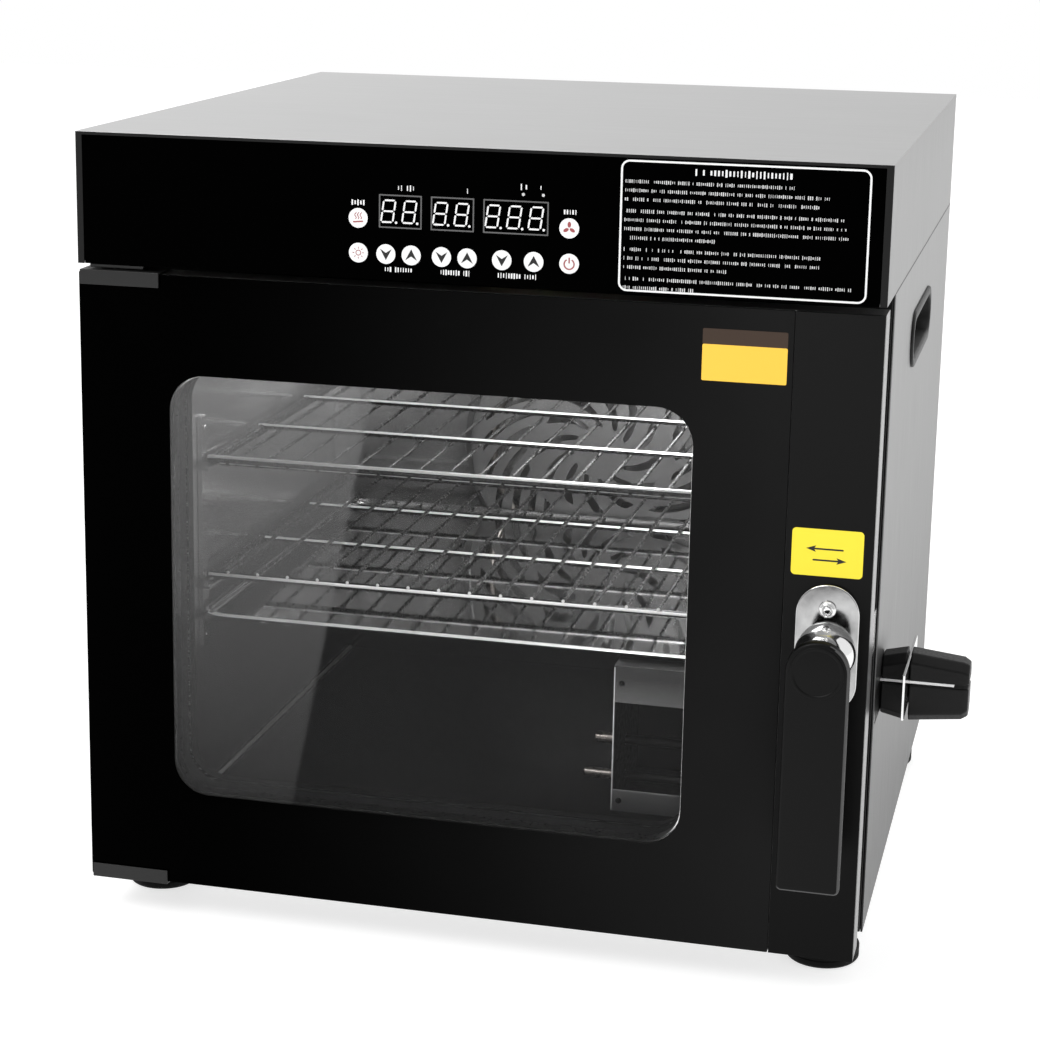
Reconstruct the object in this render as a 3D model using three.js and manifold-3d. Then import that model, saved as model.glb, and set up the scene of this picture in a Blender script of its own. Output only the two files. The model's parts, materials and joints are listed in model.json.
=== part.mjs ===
// Electric smoker: a head with a touch panel, a double-walled cabinet, a glass door with a
// lever latch, two wire racks, a drip tray and a wood-chip drawer in the right side.
// Millimetres. X runs to the right, Y to the back and Z up. Inside the group, lengths are
// measured from the cabinet's left side, the front of its head and the underside of its base.

import * as THREE from 'three';
import * as BufferGeometryUtils from 'three/addons/utils/BufferGeometryUtils.js';
import Module from 'manifold-3d';

const wasm = await Module();
wasm.setup();

// Clearances and the overrun that lets a cutter pass its surface
const seat = 0.3;
const slip = 0.8;
const boreSlip = 0.6;
const overrun = 2;

// Driving sizes of the cabinet
const cabinet = { width: 480, depth: 470, height: 472, headHeight: 79, setback: 54, sheet: 1.2 };
const chamber = { sideInset: 40, floor: 30, topInset: 28, backInset: 50, wall: 1 };
const mouth = { lip: 3, radius: 18, forward: 10, land: 9 };
const blanket = { thickness: 10 };
const foot = {
  height: 21, radius: 22.5, footprint: 21, disc: 10, ease: 2, neck: 14, inset: 24.5, front: 62, rearInset: 44,
  stud: 3, reach: 9,
};

// Head, touch panel and boards
const head = { sideLip: 4, topLip: 2 };
const glass = { thickness: 4, recess: 0.4 };
const panel = { displayStart: 187.5, displayGap: 5.8, displayRise: 40.3, keyGap: 12.7 };
const keys = { upperRise: 35.6, lowerRise: 15.4, spring: 3.4, springDepth: 8, carrier: 5, carrierStock: 1 };
const digit = { width: 12.6, height: 19 };
const displays = [
  { name: 'display_ignition_time', digits: 2, keySpread: 15.2 },
  { name: 'display_heat_time', digits: 2, keySpread: 15.2 },
  { name: 'display_temperature', digits: 3, keySpread: 18.7 },
];
const board = { thickness: 1.6, margin: 14, stud: 2.5, studInset: 4 };
const power = { left: 130, front: 140, width: 150, depth: 105, studHeight: 8 };
const relay = { count: 3, length: 19, width: 15, height: 16, pitch: 25, inset: 12 };
const transformer = { length: 42, width: 36, height: 34 };

// Door, window and seal
const door = { sideGap: 0.3, bottom: 3.8, topGap: 4.5, shell: 24, return: 10, stile: 50, seam: 0.5 };
const view = { left: 57, seamInset: 55.2, bottom: 64, topInset: 59.5, radius: 22 };
const inner = { inset: 33, rise: 25, thickness: 12, overlap: 8 };
const seal = { width: 8, offset: 1 };

// Hinges at the door's left edge
const hinge = { x: 14, y: 12, pin: 3, grip: 14, leafLength: 50, leafDepth: 20, leafStock: 1.2, lip: 9 };
const bracket = { left: 6, width: 34, front: 4, stock: 2, tab: 20 };

// Lever latch on the stile
const latch = { fromRight: 24, belowMiddle: 3.15, bar: 7, bore: 7 };
const latchBase = { width: 36.4, radius: 17.7, above: 40, below: 36, thickness: 2.7 };
const latchScrew = { rise: 26, drop: 26, head: 5, headHeight: 3, shank: 2, length: 9 };
const collar = { foot: 17.5, shoulder: 16.6, waist: 13.5, top: 12, length: 25 };
const collarShares = { rim: 0.12, shoulder: 0.32, waist: 0.62 };
const lever = { width: 36, drop: 131, thickness: 8, boss: 11, bossLength: 7.5, bevel: 2 };
const claw = { hub: 7.5, reach: 17, width: 10, thickness: 4, hubLength: 14 };
const striker = { stock: 2, height: 26, lip: 9, forward: 24, base: 13 };

// Racks, tray and their rails
const rack = { front: 98, backGap: 28, rods: 4, rod: 2.5, wire: 1.2, wires: 19, wireMargin: 13.7, slack: 4.5 };
const rackShares = { sideRod: 0.8, wireSink: 0.6 };
const shelf = { upper: 255, lower: 177 };
const rail = { post: 10, stock: 1.5, standOff: 3, ledge: 11, front: 80, backGap: 20, postBack: 21.5, low: 22, head: 28 };
const tray = { front: 72, backGap: 22, depth: 5, sheet: 0.8, flare: 4, radius: 20, rimWidth: 4 };

// Fan, heater, probe and lamp
const fan = { aboveMiddle: 7.5, shaft: 4, wheel: 60, blades: 8, bladeDepth: 13, bladeStock: 1.5, hub: 12, nose: 2 };
const guard = { radius: 100, depth: 19, flange: 8, sheet: 1.2 };
const swirl = { outerCount: 24, innerCount: 12, width: 10.5, innerWidth: 9, sweepTurns: 0.085 };
const swirlShares = { outerFrom: 0.56, outerTo: 0.9, innerFrom: 0.2, innerTo: 0.46 };
const heater = { radius: 84, tube: 4, legSpread: 16, legDepth: 24, forward: 10 };
const motor = { plateWidth: 90, plateHeight: 76, plate: 1.5, post: 4, stack: 58, stackDepth: 24, bell: 16, bellDepth: 6 };
const probe = { radius: 2.5, length: 55, fromBack: 12, drop: 35, nut: 6, nutWidth: 4 };
const lensShares = [[0.9, 0.55], [0.6, 0.88]];
const lamp = { along: 155, drop: 80, socket: 17, socketDepth: 30, flange: 22, lens: 16, lensDepth: 7 };

// Chip drawer in the right side and the housing that it runs in
const housing = { front: 60, width: 80, inside: 119, bottom: 59, top: 153, sleeve: 23.4, lowBand: 14, sheet: 1.2 };
const drawer = { sheet: 1, setIn: 0.2, slots: 5, slotLength: 56, slotWidth: 4 };
const tang = { width: 20, stock: 2, length: 44, tab: 14 };
const shield = { offset: 15.5, stock: 1.5, width: 85, height: 28, neck: 16 };
const grip = { length: 52.5, depth: 24, bevel: 5, endBevel: 4, upper: 16.5, lower: 24, neckHeight: 8, waist: 3.5 };
const igniter = { radius: 3.2, low: 68, high: 92, left: 25, leftHigh: 18, reach: 88, plate: 2.7, plateWidth: 16, margin: 6 };

// Carry cups in the sides, back vents and the cord gland
const cup = {
  drop: 51, length: 128, tall: 28, depth: 24, wall: 2, flange: 4, flangeStock: 1.5, radius: 13.7, forward: 18,
};
const vent = { columns: 3, rows: 4, length: 40, width: 4, columnPitch: 56, rowPitch: 10 };
const gland = { fromRight: 70, height: 45, thread: 8, hex: 12, hexDepth: 6, dome: 9, domeDepth: 12, bore: 3.6, tail: 9 };

// Planes that several pieces share
const frontY = cabinet.setback;
const headBottom = cabinet.height - cabinet.headHeight;
const shellFront = frontY + cabinet.sheet + seat;
const mouthFront = frontY - mouth.forward;
const linerFront = mouthFront + cabinet.sheet + seat;
const right = cabinet.width;
const chamberRight = right - chamber.sideInset;
const chamberTop = headBottom - chamber.topInset;
const chamberBack = cabinet.depth - chamber.backInset;
const glassBack = glass.recess + glass.thickness;
const plateBack = glassBack + seat + cabinet.sheet;
const boardFront = glassBack + keys.springDepth + seat;
const doorRight = right - door.sideGap;
const doorTop = headBottom - door.topGap;
const seamX = doorRight - door.stile;
const frameFront = glass.thickness + seat;
const innerBack = door.shell + seat + inner.thickness;
const spindleX = doorRight - latch.fromRight;
const latchZ = (door.bottom + doorTop) / 2 - latch.belowMiddle;
const latchFront = -seat - latchBase.thickness;
const collarFront = latchFront - seat - collar.length;
const leverBack = collarFront - seat - lever.bossLength;
const leverFace = leverBack - lever.thickness;
const fanX = right / 2;
const fanZ = (chamber.floor + chamberTop) / 2 + fan.aboveMiddle;
const lampZ = chamberTop - lamp.drop;
const probeZ = chamberTop - probe.drop;
const guardFront = chamberBack - seat - guard.depth;
const drawerY = housing.front + housing.width / 2;
const sleeveFloor = housing.top - housing.sleeve;
const tangZ = housing.top - housing.sheet - slip - tang.stock;
const shieldX = right + shield.offset;
const gripStart = right + seat;

// Finishes, from the photograph
const finish = (color, roughness, metalness) => new THREE.MeshStandardMaterial({ color, roughness, metalness });
const paleSheet = () => finish(0xb9bbbd, 0.45, 0.55);
const stainless = () => finish(0xa9abad, 0.25, 0.95);
const polished = () => finish(0xd4d6d8, 0.12, 1);
const blackGlass = () => finish(0x0b0b0d, 0.06, 0);
const clearGlass = () => finish(0x8a9094, 0.05, 0);
const blackPlastic = () => finish(0x1c1c1e, 0.55, 0);
const blackRubber = () => finish(0x151516, 0.8, 0);

// Solids from three.js geometry
function toSolid(geometry) {
  const plain = geometry.clone();
  plain.deleteAttribute('normal');
  plain.deleteAttribute('uv');
  const merged = BufferGeometryUtils.mergeVertices(plain);
  const vertProperties = new Float32Array(merged.attributes.position.array);
  const triVerts = new Uint32Array(merged.index.array);
  return new wasm.Manifold(new wasm.Mesh({ numProp: 3, vertProperties, triVerts }));
}

function toGeometry(solid) {
  const mesh = solid.getMesh();
  const geometry = new THREE.BufferGeometry();
  geometry.setAttribute('position', new THREE.BufferAttribute(new Float32Array(mesh.vertProperties), mesh.numProp));
  geometry.setIndex(new THREE.BufferAttribute(new Uint32Array(mesh.triVerts), 1));
  geometry.computeVertexNormals();
  return geometry;
}

const join = (...solids) => solids.reduce((sum, solid) => sum.add(solid));
const cut = (solid, ...tools) => tools.reduce((rest, tool) => rest.subtract(tool), solid);

function box(x0, x1, y0, y1, z0, z1) {
  const shape = new THREE.BoxGeometry(x1 - x0, y1 - y0, z1 - z0);
  shape.translate((x0 + x1) / 2, (y0 + y1) / 2, (z0 + z1) / 2);
  return toSolid(shape);
}

// A rod along one axis; a and b are its other two coordinates, in X, Y, Z order
function rod(axis, radius, from, to, a, b, sides = 12) {
  const shape = new THREE.CylinderGeometry(radius, radius, to - from, sides, 1, false, sides === 6 ? Math.PI / 6 : 0);
  const middle = (from + to) / 2;
  if (axis === 'x') {
    shape.rotateZ(-Math.PI / 2);
    shape.translate(middle, a, b);
  } else if (axis === 'y') {
    shape.translate(a, middle, b);
  } else {
    shape.rotateX(Math.PI / 2);
    shape.translate(a, b, middle);
  }
  return toSolid(shape);
}

function rounded(path, left, rightEdge, bottom, top, radius) {
  const quarter = Math.PI / 2;
  path.moveTo(left + radius, bottom);
  path.lineTo(rightEdge - radius, bottom);
  path.absarc(rightEdge - radius, bottom + radius, radius, -quarter, 0, false);
  path.lineTo(rightEdge, top - radius);
  path.absarc(rightEdge - radius, top - radius, radius, 0, quarter, false);
  path.lineTo(left + radius, top);
  path.absarc(left + radius, top - radius, radius, quarter, 2 * quarter, false);
  path.lineTo(left, bottom + radius);
  path.absarc(left + radius, bottom + radius, radius, 2 * quarter, 3 * quarter, false);
  return path;
}

function extrude(shape, depth, curveSegments) {
  return new THREE.ExtrudeGeometry(shape, { depth, bevelEnabled: false, curveSegments });
}

// Plates drawn in the XZ, YZ and XY planes
function plateXZ(shape, y0, y1, curveSegments = 4) {
  const geometry = extrude(shape, y1 - y0, curveSegments);
  geometry.rotateX(Math.PI / 2);
  geometry.translate(0, y1, 0);
  return toSolid(geometry);
}

function plateYZ(shape, x0, x1, curveSegments = 4) {
  const geometry = extrude(shape, x1 - x0, curveSegments);
  const turn = new THREE.Matrix4();
  turn.makeBasis(new THREE.Vector3(0, 1, 0), new THREE.Vector3(0, 0, 1), new THREE.Vector3(1, 0, 0));
  geometry.applyMatrix4(turn);
  geometry.translate(x0, 0, 0);
  return toSolid(geometry);
}

function plateXY(shape, z0, z1, curveSegments = 4) {
  const geometry = extrude(shape, z1 - z0, curveSegments);
  geometry.translate(0, 0, z0);
  return toSolid(geometry);
}

// A ring between two rounded rectangles, the inner one smaller by the wall
function frameXZ(left, rightEdge, bottom, top, radius, wall, y0, y1) {
  const shape = rounded(new THREE.Shape(), left, rightEdge, bottom, top, radius);
  const hole = rounded(new THREE.Path(), left + wall, rightEdge - wall, bottom + wall, top - wall, radius - wall);
  shape.holes.push(hole);
  return plateXZ(shape, y0, y1);
}

// A lathe turned about Y or Z; each profile point is a radius and a height
function lathe(profile, axis, x, y, z, sides = 14) {
  const points = profile.map(([radius, height]) => new THREE.Vector2(radius, height));
  const shape = new THREE.LatheGeometry(points, sides);
  if (axis === 'z') shape.rotateX(Math.PI / 2);
  shape.translate(x, y, z);
  return toSolid(shape);
}

function tube(points, radius, steps, sides = 6) {
  const curve = new THREE.CatmullRomCurve3(points, false, 'centripetal');
  const section = new THREE.Shape();
  section.absarc(0, 0, radius, 0, 2 * Math.PI, false);
  const options = { extrudePath: curve, steps, curveSegments: sides / 2, bevelEnabled: false };
  return toSolid(new THREE.ExtrudeGeometry(section, options));
}

// Distance from a side's outer face, measured inwards on the left or the right side
const fromSide = (side, distance) => (side === 'left' ? distance : right - distance);
function sidePair(side, near, far) {
  const pair = [fromSide(side, near), fromSide(side, far)];
  return pair.sort((low, high) => low - high);
}

const smoker = new THREE.Group();
function place(name, material, solid) {
  const mesh = new THREE.Mesh(toGeometry(solid), material);
  mesh.name = name;
  smoker.add(mesh);
}

// Places on the touch panel: each display's left edge and each key's centre
function panelLayout() {
  const modules = [];
  const touches = [];
  let x = panel.displayStart;
  for (const item of displays) {
    const width = item.digits * digit.width;
    modules.push({ name: item.name, left: x, right: x + width });
    for (const sign of [-1, 1]) {
      touches.push([x + width / 2 + (sign * item.keySpread) / 2, headBottom + keys.lowerRise]);
    }
    x += width + panel.displayGap;
  }
  const leftColumn = panel.displayStart - panel.keyGap;
  const rightColumn = x - panel.displayGap + panel.keyGap;
  for (const column of [leftColumn, rightColumn]) {
    touches.push([column, headBottom + keys.lowerRise], [column, headBottom + keys.upperRise]);
  }
  return { modules, touches, leftColumn, rightColumn };
}
const layout = panelLayout();
const boardBox = {
  left: layout.leftColumn - board.margin,
  right: layout.rightColumn + board.margin,
  bottom: headBottom + keys.lowerRise - board.margin / 2,
  top: headBottom + panel.displayRise + digit.height / 2 + board.margin,
};

function headCover() {
  const t = cabinet.sheet;
  const bottom = headBottom + seat;
  const skin = box(0, right, 0, cabinet.depth, bottom, cabinet.height);
  const hollow = box(t, right - t, t, cabinet.depth - t, bottom - overrun, cabinet.height - t);
  const lipTop = cabinet.height - head.topLip;
  const opening = box(head.sideLip, right - head.sideLip, -overrun, t + overrun, bottom - overrun, lipTop);
  place('head_cover', paleSheet(), cut(skin, hollow, opening));
}

const floorTop = headBottom + seat + cabinet.sheet;

function headFloor() {
  const t = cabinet.sheet + seat;
  const back = cabinet.depth - t;
  let floor = box(t, right - t, glassBack + seat, back, headBottom + seat, floorTop);
  for (const x of [power.left + board.studInset, power.left + power.width - board.studInset]) {
    for (const y of [power.front + board.studInset, power.front + power.depth - board.studInset]) {
      floor = join(floor, rod('z', board.stud, headBottom + seat, floorTop + power.studHeight, x, y, 6));
    }
  }
  place('head_floor', paleSheet(), floor);
}

function controlGlass() {
  const side = head.sideLip + seat;
  const top = cabinet.height - head.topLip - seat;
  place('control_glass', blackGlass(), box(side, right - side, glass.recess, glassBack, headBottom + seat, top));
}

function frontPlate() {
  const t = cabinet.sheet + seat;
  let plate = box(t, right - t, glassBack + seat, plateBack, floorTop + seat, cabinet.height - t);
  for (const module of layout.modules) {
    const low = headBottom + panel.displayRise - digit.height / 2 - boreSlip;
    const high = low + digit.height + 2 * boreSlip;
    plate = cut(plate, box(module.left - boreSlip, module.right + boreSlip, 0, plateBack + overrun, low, high));
  }
  for (const [x, z] of layout.touches) {
    plate = cut(plate, rod('y', keys.spring + boreSlip, 0, plateBack + overrun, x, z, 6));
  }
  for (const x of [boardBox.left + board.studInset, boardBox.right - board.studInset]) {
    for (const z of [boardBox.bottom + board.studInset, boardBox.top - board.studInset]) {
      plate = join(plate, rod('y', board.stud, glassBack + seat, boardFront, x, z, 6));
    }
  }
  place('front_plate', paleSheet(), plate);
}

function displayModules() {
  const middle = headBottom + panel.displayRise;
  for (const module of layout.modules) {
    const low = middle - digit.height / 2;
    const high = middle + digit.height / 2;
    const body = box(module.left, module.right, glassBack + seat, boardFront, low, high);
    place(module.name, finish(0x2a2a2c, 0.4, 0), body);
  }
}

function controlBoard() {
  const front = boardFront + seat;
  const { left, right: end, bottom, top } = boardBox;
  place('control_board', finish(0x1d5a34, 0.6, 0), box(left, end, front, front + board.thickness, bottom, top));
}

function touchSprings() {
  const springs = layout.touches.map(([x, z]) => rod('y', keys.spring, glassBack + seat, boardFront, x, z, 6));
  const half = keys.carrier / 2;
  const low = headBottom + keys.lowerRise;
  const high = headBottom + keys.upperRise;
  const back = boardFront - keys.carrierStock;
  const strip = box(layout.leftColumn - half, layout.rightColumn + half, back, boardFront, low - half, low + half);
  const posts = [layout.leftColumn, layout.rightColumn].map((x) => box(x - half, x + half, back, boardFront, low,
    high + half));
  place('touch_springs', stainless(), join(strip, ...posts, ...springs));
}

function powerBoard() {
  const bottom = floorTop + power.studHeight + seat;
  const top = bottom + board.thickness;
  const end = power.left + power.width;
  let solid = box(power.left, end, power.front, power.front + power.depth, bottom, top);
  for (let i = 0; i < relay.count; i += 1) {
    const x = power.left + relay.inset + i * relay.pitch;
    const y = power.front + relay.inset;
    solid = join(solid, box(x, x + relay.length, y, y + relay.width, bottom, top + relay.height));
  }
  const farX = end - relay.inset;
  const farY = power.front + power.depth - relay.inset;
  const core = box(farX - transformer.length, farX, farY - transformer.width, farY, bottom, top + transformer.height);
  place('power_board', finish(0x2b6b3c, 0.6, 0), join(solid, core));
}

function cupOutline(path, grow) {
  const half = cup.length / 2 + grow;
  const tall = cup.tall / 2 + grow;
  const radius = cup.radius + grow;
  const y = (frontY + cabinet.depth) / 2 - cup.forward;
  const z = headBottom - cup.drop;
  return rounded(path, y - half, y + half, z - tall, z + tall, radius);
}

function sidePanels() {
  for (const side of ['left', 'right']) {
    const [x0, x1] = sidePair(side, 0, cabinet.sheet);
    const sheet = box(x0, x1, frontY, cabinet.depth, 0, headBottom);
    const opening = plateYZ(cupOutline(new THREE.Shape(), seat), x0 - overrun, x1 + overrun);
    let panelSolid = cut(sheet, opening);
    if (side === 'right') panelSolid = cut(panelSolid, sleeveHollow(x0 - overrun, x1 + overrun));
    place(`side_panel_${side}`, paleSheet(), panelSolid);
  }
}

function carryCups() {
  for (const side of ['left', 'right']) {
    const [outer0, outer1] = sidePair(side, -seat - cup.flangeStock, -seat);
    const [wall0, wall1] = sidePair(side, -seat - cup.flangeStock / 2, cup.depth);
    const [pocket0, pocket1] = sidePair(side, -seat - cup.flangeStock - overrun, cup.depth - cup.wall);
    const flange = plateYZ(cupOutline(new THREE.Shape(), cup.flange), outer0, outer1);
    const wall = plateYZ(cupOutline(new THREE.Shape(), 0), wall0, wall1);
    const pocket = plateYZ(cupOutline(new THREE.Shape(), -cup.wall), pocket0, pocket1);
    place(`carry_cup_${side}`, blackPlastic(), cut(join(flange, wall), pocket));
  }
}

function backPanel() {
  const side = cabinet.sheet + seat;
  const y0 = cabinet.depth - cabinet.sheet;
  let sheet = box(side, right - side, y0, cabinet.depth, 0, headBottom);
  for (let column = 0; column < vent.columns; column += 1) {
    const x = fanX + (column - (vent.columns - 1) / 2) * vent.columnPitch - vent.length / 2;
    for (let row = 0; row < vent.rows; row += 1) {
      const z = fanZ + (row - (vent.rows - 1) / 2) * vent.rowPitch - vent.width / 2;
      sheet = cut(sheet, box(x, x + vent.length, y0 - overrun, cabinet.depth + overrun, z, z + vent.width));
    }
  }
  const glandHole = rod('y', gland.thread + seat, y0 - overrun, cabinet.depth + overrun, right - gland.fromRight,
    gland.height);
  place('back_panel', paleSheet(), cut(sheet, glandHole));
}

const footPlaces = [
  ['foot_front_left', foot.inset, foot.front],
  ['foot_front_right', right - foot.inset, foot.front],
  ['foot_rear_left', foot.inset, cabinet.depth - foot.rearInset],
  ['foot_rear_right', right - foot.inset, cabinet.depth - foot.rearInset],
];

function basePanel() {
  const side = cabinet.sheet + seat;
  const back = cabinet.depth - side;
  let sheet = box(side, right - side, shellFront, back, 0, cabinet.sheet);
  for (const [, x, y] of footPlaces) {
    sheet = cut(sheet, rod('z', foot.stud + seat, -overrun, cabinet.sheet + overrun, x, y, 12));
  }
  place('base_panel', paleSheet(), sheet);
}

function feet() {
  const top = -seat;
  for (const [name, x, y] of footPlaces) {
    const discTop = foot.disc - foot.height;
    const profile = [
      [0, -foot.height], [foot.footprint, -foot.height], [foot.radius, foot.ease - foot.height],
      [foot.radius, discTop], [foot.neck, discTop + foot.ease], [foot.neck, top], [foot.stud, top],
      [foot.stud, foot.reach], [0, foot.reach],
    ];
    place(name, blackRubber(), lathe(profile, 'z', x, y, 0));
  }
}

function frontFrame() {
  const side = cabinet.sheet + seat;
  const plate = box(side, right - side, frontY, frontY + cabinet.sheet, 0, headBottom);
  const inset = chamber.sideInset + mouth.lip;
  const low = chamber.floor + mouth.lip;
  const high = chamberTop - mouth.lip;
  const opening = rounded(new THREE.Shape(), inset, right - inset, low, high, mouth.radius);
  const t = cabinet.sheet;
  const back = frontY + t;
  const collarBox = (grow, y0, y1) => box(inset - grow, right - inset + grow, y0, y1, low - grow, high + grow);
  const raised = collarBox(mouth.land, mouthFront, back);
  const hollow = collarBox(mouth.land - t, mouthFront + t, back + overrun);
  const through = plateXZ(opening, mouthFront - overrun, back + overrun);
  place('front_frame', stainless(), cut(join(plate, raised), hollow, through));
}

// The chip drawer's sleeve, inside and outside, between two planes across X
function sleeveHollow(x0, x1) {
  const t = housing.sheet;
  const back = housing.front + housing.width - t;
  return box(x0, x1, housing.front + t, back, sleeveFloor + t, housing.top - t);
}

function sleeveBody(x0, x1, grow) {
  const back = housing.front + housing.width + grow;
  return box(x0, x1, housing.front - grow, back, sleeveFloor - grow, housing.top + grow);
}

// Holes that pass from the chamber through its wall and its blanket
function serviceHoles(grow) {
  const back = cabinet.depth;
  const tools = [
    rod('y', fan.shaft + boreSlip + grow, chamberBack - overrun, back, fanX, fanZ),
    rod('x', lamp.socket + seat + grow, chamberRight - overrun, right - cabinet.sheet, lamp.along, lampZ, 20),
    rod('x', probe.radius + seat + grow, 0, chamber.sideInset + overrun, chamberBack - probe.fromBack, probeZ),
    sleeveBody(chamberRight - overrun, right - cabinet.sheet, seat + grow / 2),
  ];
  for (const sign of [-1, 1]) {
    const x = fanX + (sign * heater.legSpread) / 2;
    const z = fanZ - heater.radius;
    tools.push(rod('y', heater.tube + 2 * slip + grow / 2, chamberBack - overrun, back, x, z));
  }
  return tools;
}

function chamberLiner() {
  const w = chamber.wall;
  const left = chamber.sideInset;
  const outer = box(left - w, chamberRight + w, linerFront, chamberBack + w, chamber.floor - w, chamberTop + w);
  const hollow = box(left, chamberRight, linerFront - overrun, chamberBack, chamber.floor, chamberTop);
  place('chamber_liner', stainless(), cut(outer, hollow, ...serviceHoles(0)));
}

const motorPlateY = chamberBack + chamber.wall + 2 * seat + blanket.thickness;
const postPlaces = [];
for (const sx of [-1, 1]) {
  for (const sz of [-1, 1]) {
    const x = fanX + sx * (motor.plateWidth / 2 - 2 * motor.post);
    const z = fanZ + sz * (motor.plateHeight / 2 - 2 * motor.post);
    postPlaces.push([x, z]);
  }
}

function insulation() {
  const gap = chamber.wall + seat;
  const grow = gap + blanket.thickness;
  const left = chamber.sideInset;
  const front = shellFront + seat;
  const outer = box(left - grow, chamberRight + grow, front, chamberBack + grow, chamber.floor - grow,
    chamberTop + grow);
  const hollow = box(left - gap, chamberRight + gap, front - overrun, chamberBack + gap, chamber.floor - gap,
    chamberTop + gap);
  const posts = postPlaces.map(([x, z]) => rod('y', motor.post + seat, chamberBack, cabinet.depth, x, z));
  const nutSpace = rod('x', probe.nut + seat, 0, left, chamberBack - probe.fromBack, probeZ);
  const nose = box(chamberRight, right, 0, housing.front + housing.sheet, sleeveFloor - slip, housing.top + slip);
  place('insulation', finish(0xd8d2c4, 0.95, 0), cut(outer, hollow, nutSpace, nose, ...serviceHoles(slip), ...posts));
}

function shelfRails() {
  const end = chamberBack - rail.backGap;
  const rear = end - rail.postBack;
  const front = rail.front + rail.post;
  const high = shelf.upper + rail.head;
  const trayLedge = housing.top;
  const ledges = [trayLedge, shelf.lower - rack.rod - seat, shelf.upper - rack.rod - seat];
  for (const side of ['left', 'right']) {
    const near = chamber.sideInset + seat;
    const [x0, x1] = sidePair(side, near, near + rail.standOff);
    const [ledge0, ledge1] = sidePair(side, near, near + rail.ledge);
    const frontFoot = side === 'left' ? housing.top - rail.low : housing.top + seat;
    const parts = [
      box(x0, x1, front, front + rail.post, frontFoot, high),
      box(x0, x1, rear, rear + rail.post, housing.top - rail.low, high),
    ];
    ledges.forEach((top, index) => {
      const clear = side === 'right' && index === 0;
      const start = clear ? housing.front + housing.width + rail.post : rail.front;
      parts.push(box(ledge0, ledge1, start, end, top - rail.stock, top));
    });
    place(`shelf_rails_${side}`, stainless(), join(...parts));
  }
}

function wireRack(name, height, wireSide) {
  const left = chamber.sideInset + rack.slack;
  const end = right - left;
  const back = chamberBack - rack.backGap;
  const rods = [];
  for (let i = 0; i < rack.rods; i += 1) {
    const y = rack.front + ((back - rack.front) * i) / (rack.rods - 1);
    rods.push(rod('x', rack.rod, left, end, y, height, 6));
  }
  for (const x of [left + rack.rod, end - rack.rod]) {
    rods.push(rod('y', rack.rod * rackShares.sideRod, rack.front, back, x, height, 6));
  }
  const half = rack.wire;
  const middle = height + wireSide * (rack.rod + half * rackShares.wireSink);
  const first = left + rack.wireMargin;
  const pitch = (end - rack.wireMargin - first) / (rack.wires - 1);
  for (let i = 0; i < rack.wires; i += 1) {
    const x = first + i * pitch;
    rods.push(box(x - half, x + half, rack.front - rack.rod, back + rack.rod, middle - half, middle + half));
  }
  place(name, polished(), join(...rods));
}

function dripTray() {
  const side = chamber.sideInset + rack.slack;
  const bottom = housing.top + seat;
  const rim = bottom + tray.depth;
  const outline = (inset, extra) => rounded(new THREE.Shape(), side + inset, right - side - inset,
    tray.front + inset, chamberBack - tray.backGap - inset, tray.radius + extra);
  const rimPlate = plateXY(outline(0, 0), rim - tray.sheet, rim);
  const pan = plateXY(outline(tray.flare, -tray.flare), bottom, rim);
  const well = tray.flare + tray.sheet;
  const hollow = plateXY(outline(well, -well), bottom + tray.sheet, rim + overrun);
  place('drip_tray', polished(), cut(join(rimPlate, pan), hollow));
}

// A curved slot that widens outwards, and whose centre line turns about the guard's middle as it goes
function swirlSlot(from, to, start, width) {
  const steps = 3;
  const sides = [[], []];
  for (let i = 0; i <= steps; i += 1) {
    const share = i / steps;
    const radius = from + (to - from) * share;
    const angle = start + 2 * Math.PI * swirl.sweepTurns * share;
    [-1, 1].forEach((sign, k) => {
      const a = angle + (sign * width) / (2 * to);
      sides[k].push(new THREE.Vector2(fanX + radius * Math.cos(a), fanZ + radius * Math.sin(a)));
    });
  }
  const hole = new THREE.Path();
  hole.setFromPoints([...sides[0], ...sides[1].reverse()]);
  return hole;
}

function fanGuard() {
  const disc = (radius) => {
    const shape = new THREE.Shape();
    shape.absarc(fanX, fanZ, radius, 0, 2 * Math.PI, false);
    return shape;
  };
  const round = 14;
  const face = disc(guard.radius);
  const ring = (count, fromShare, toShare, width) => {
    for (let i = 0; i < count; i += 1) {
      const start = (2 * Math.PI * i) / count;
      face.holes.push(swirlSlot(guard.radius * fromShare, guard.radius * toShare, start, width));
    }
  };
  ring(swirl.outerCount, swirlShares.outerFrom, swirlShares.outerTo, swirl.width);
  ring(swirl.innerCount, swirlShares.innerFrom, swirlShares.innerTo, swirl.innerWidth);
  const back = chamberBack - seat;
  const inside = guardFront + guard.sheet;
  const wall = plateXZ(disc(guard.radius), inside - guard.sheet / 2, back, round);
  const flange = plateXZ(disc(guard.radius + guard.flange), back - guard.sheet, back, round);
  const hollow = plateXZ(disc(guard.radius - guard.sheet), inside - guard.sheet, back + overrun, round);
  const front = plateXZ(face, guardFront, inside, round);
  place('fan_guard', stainless(), join(front, cut(join(wall, flange), hollow)));
}

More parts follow.
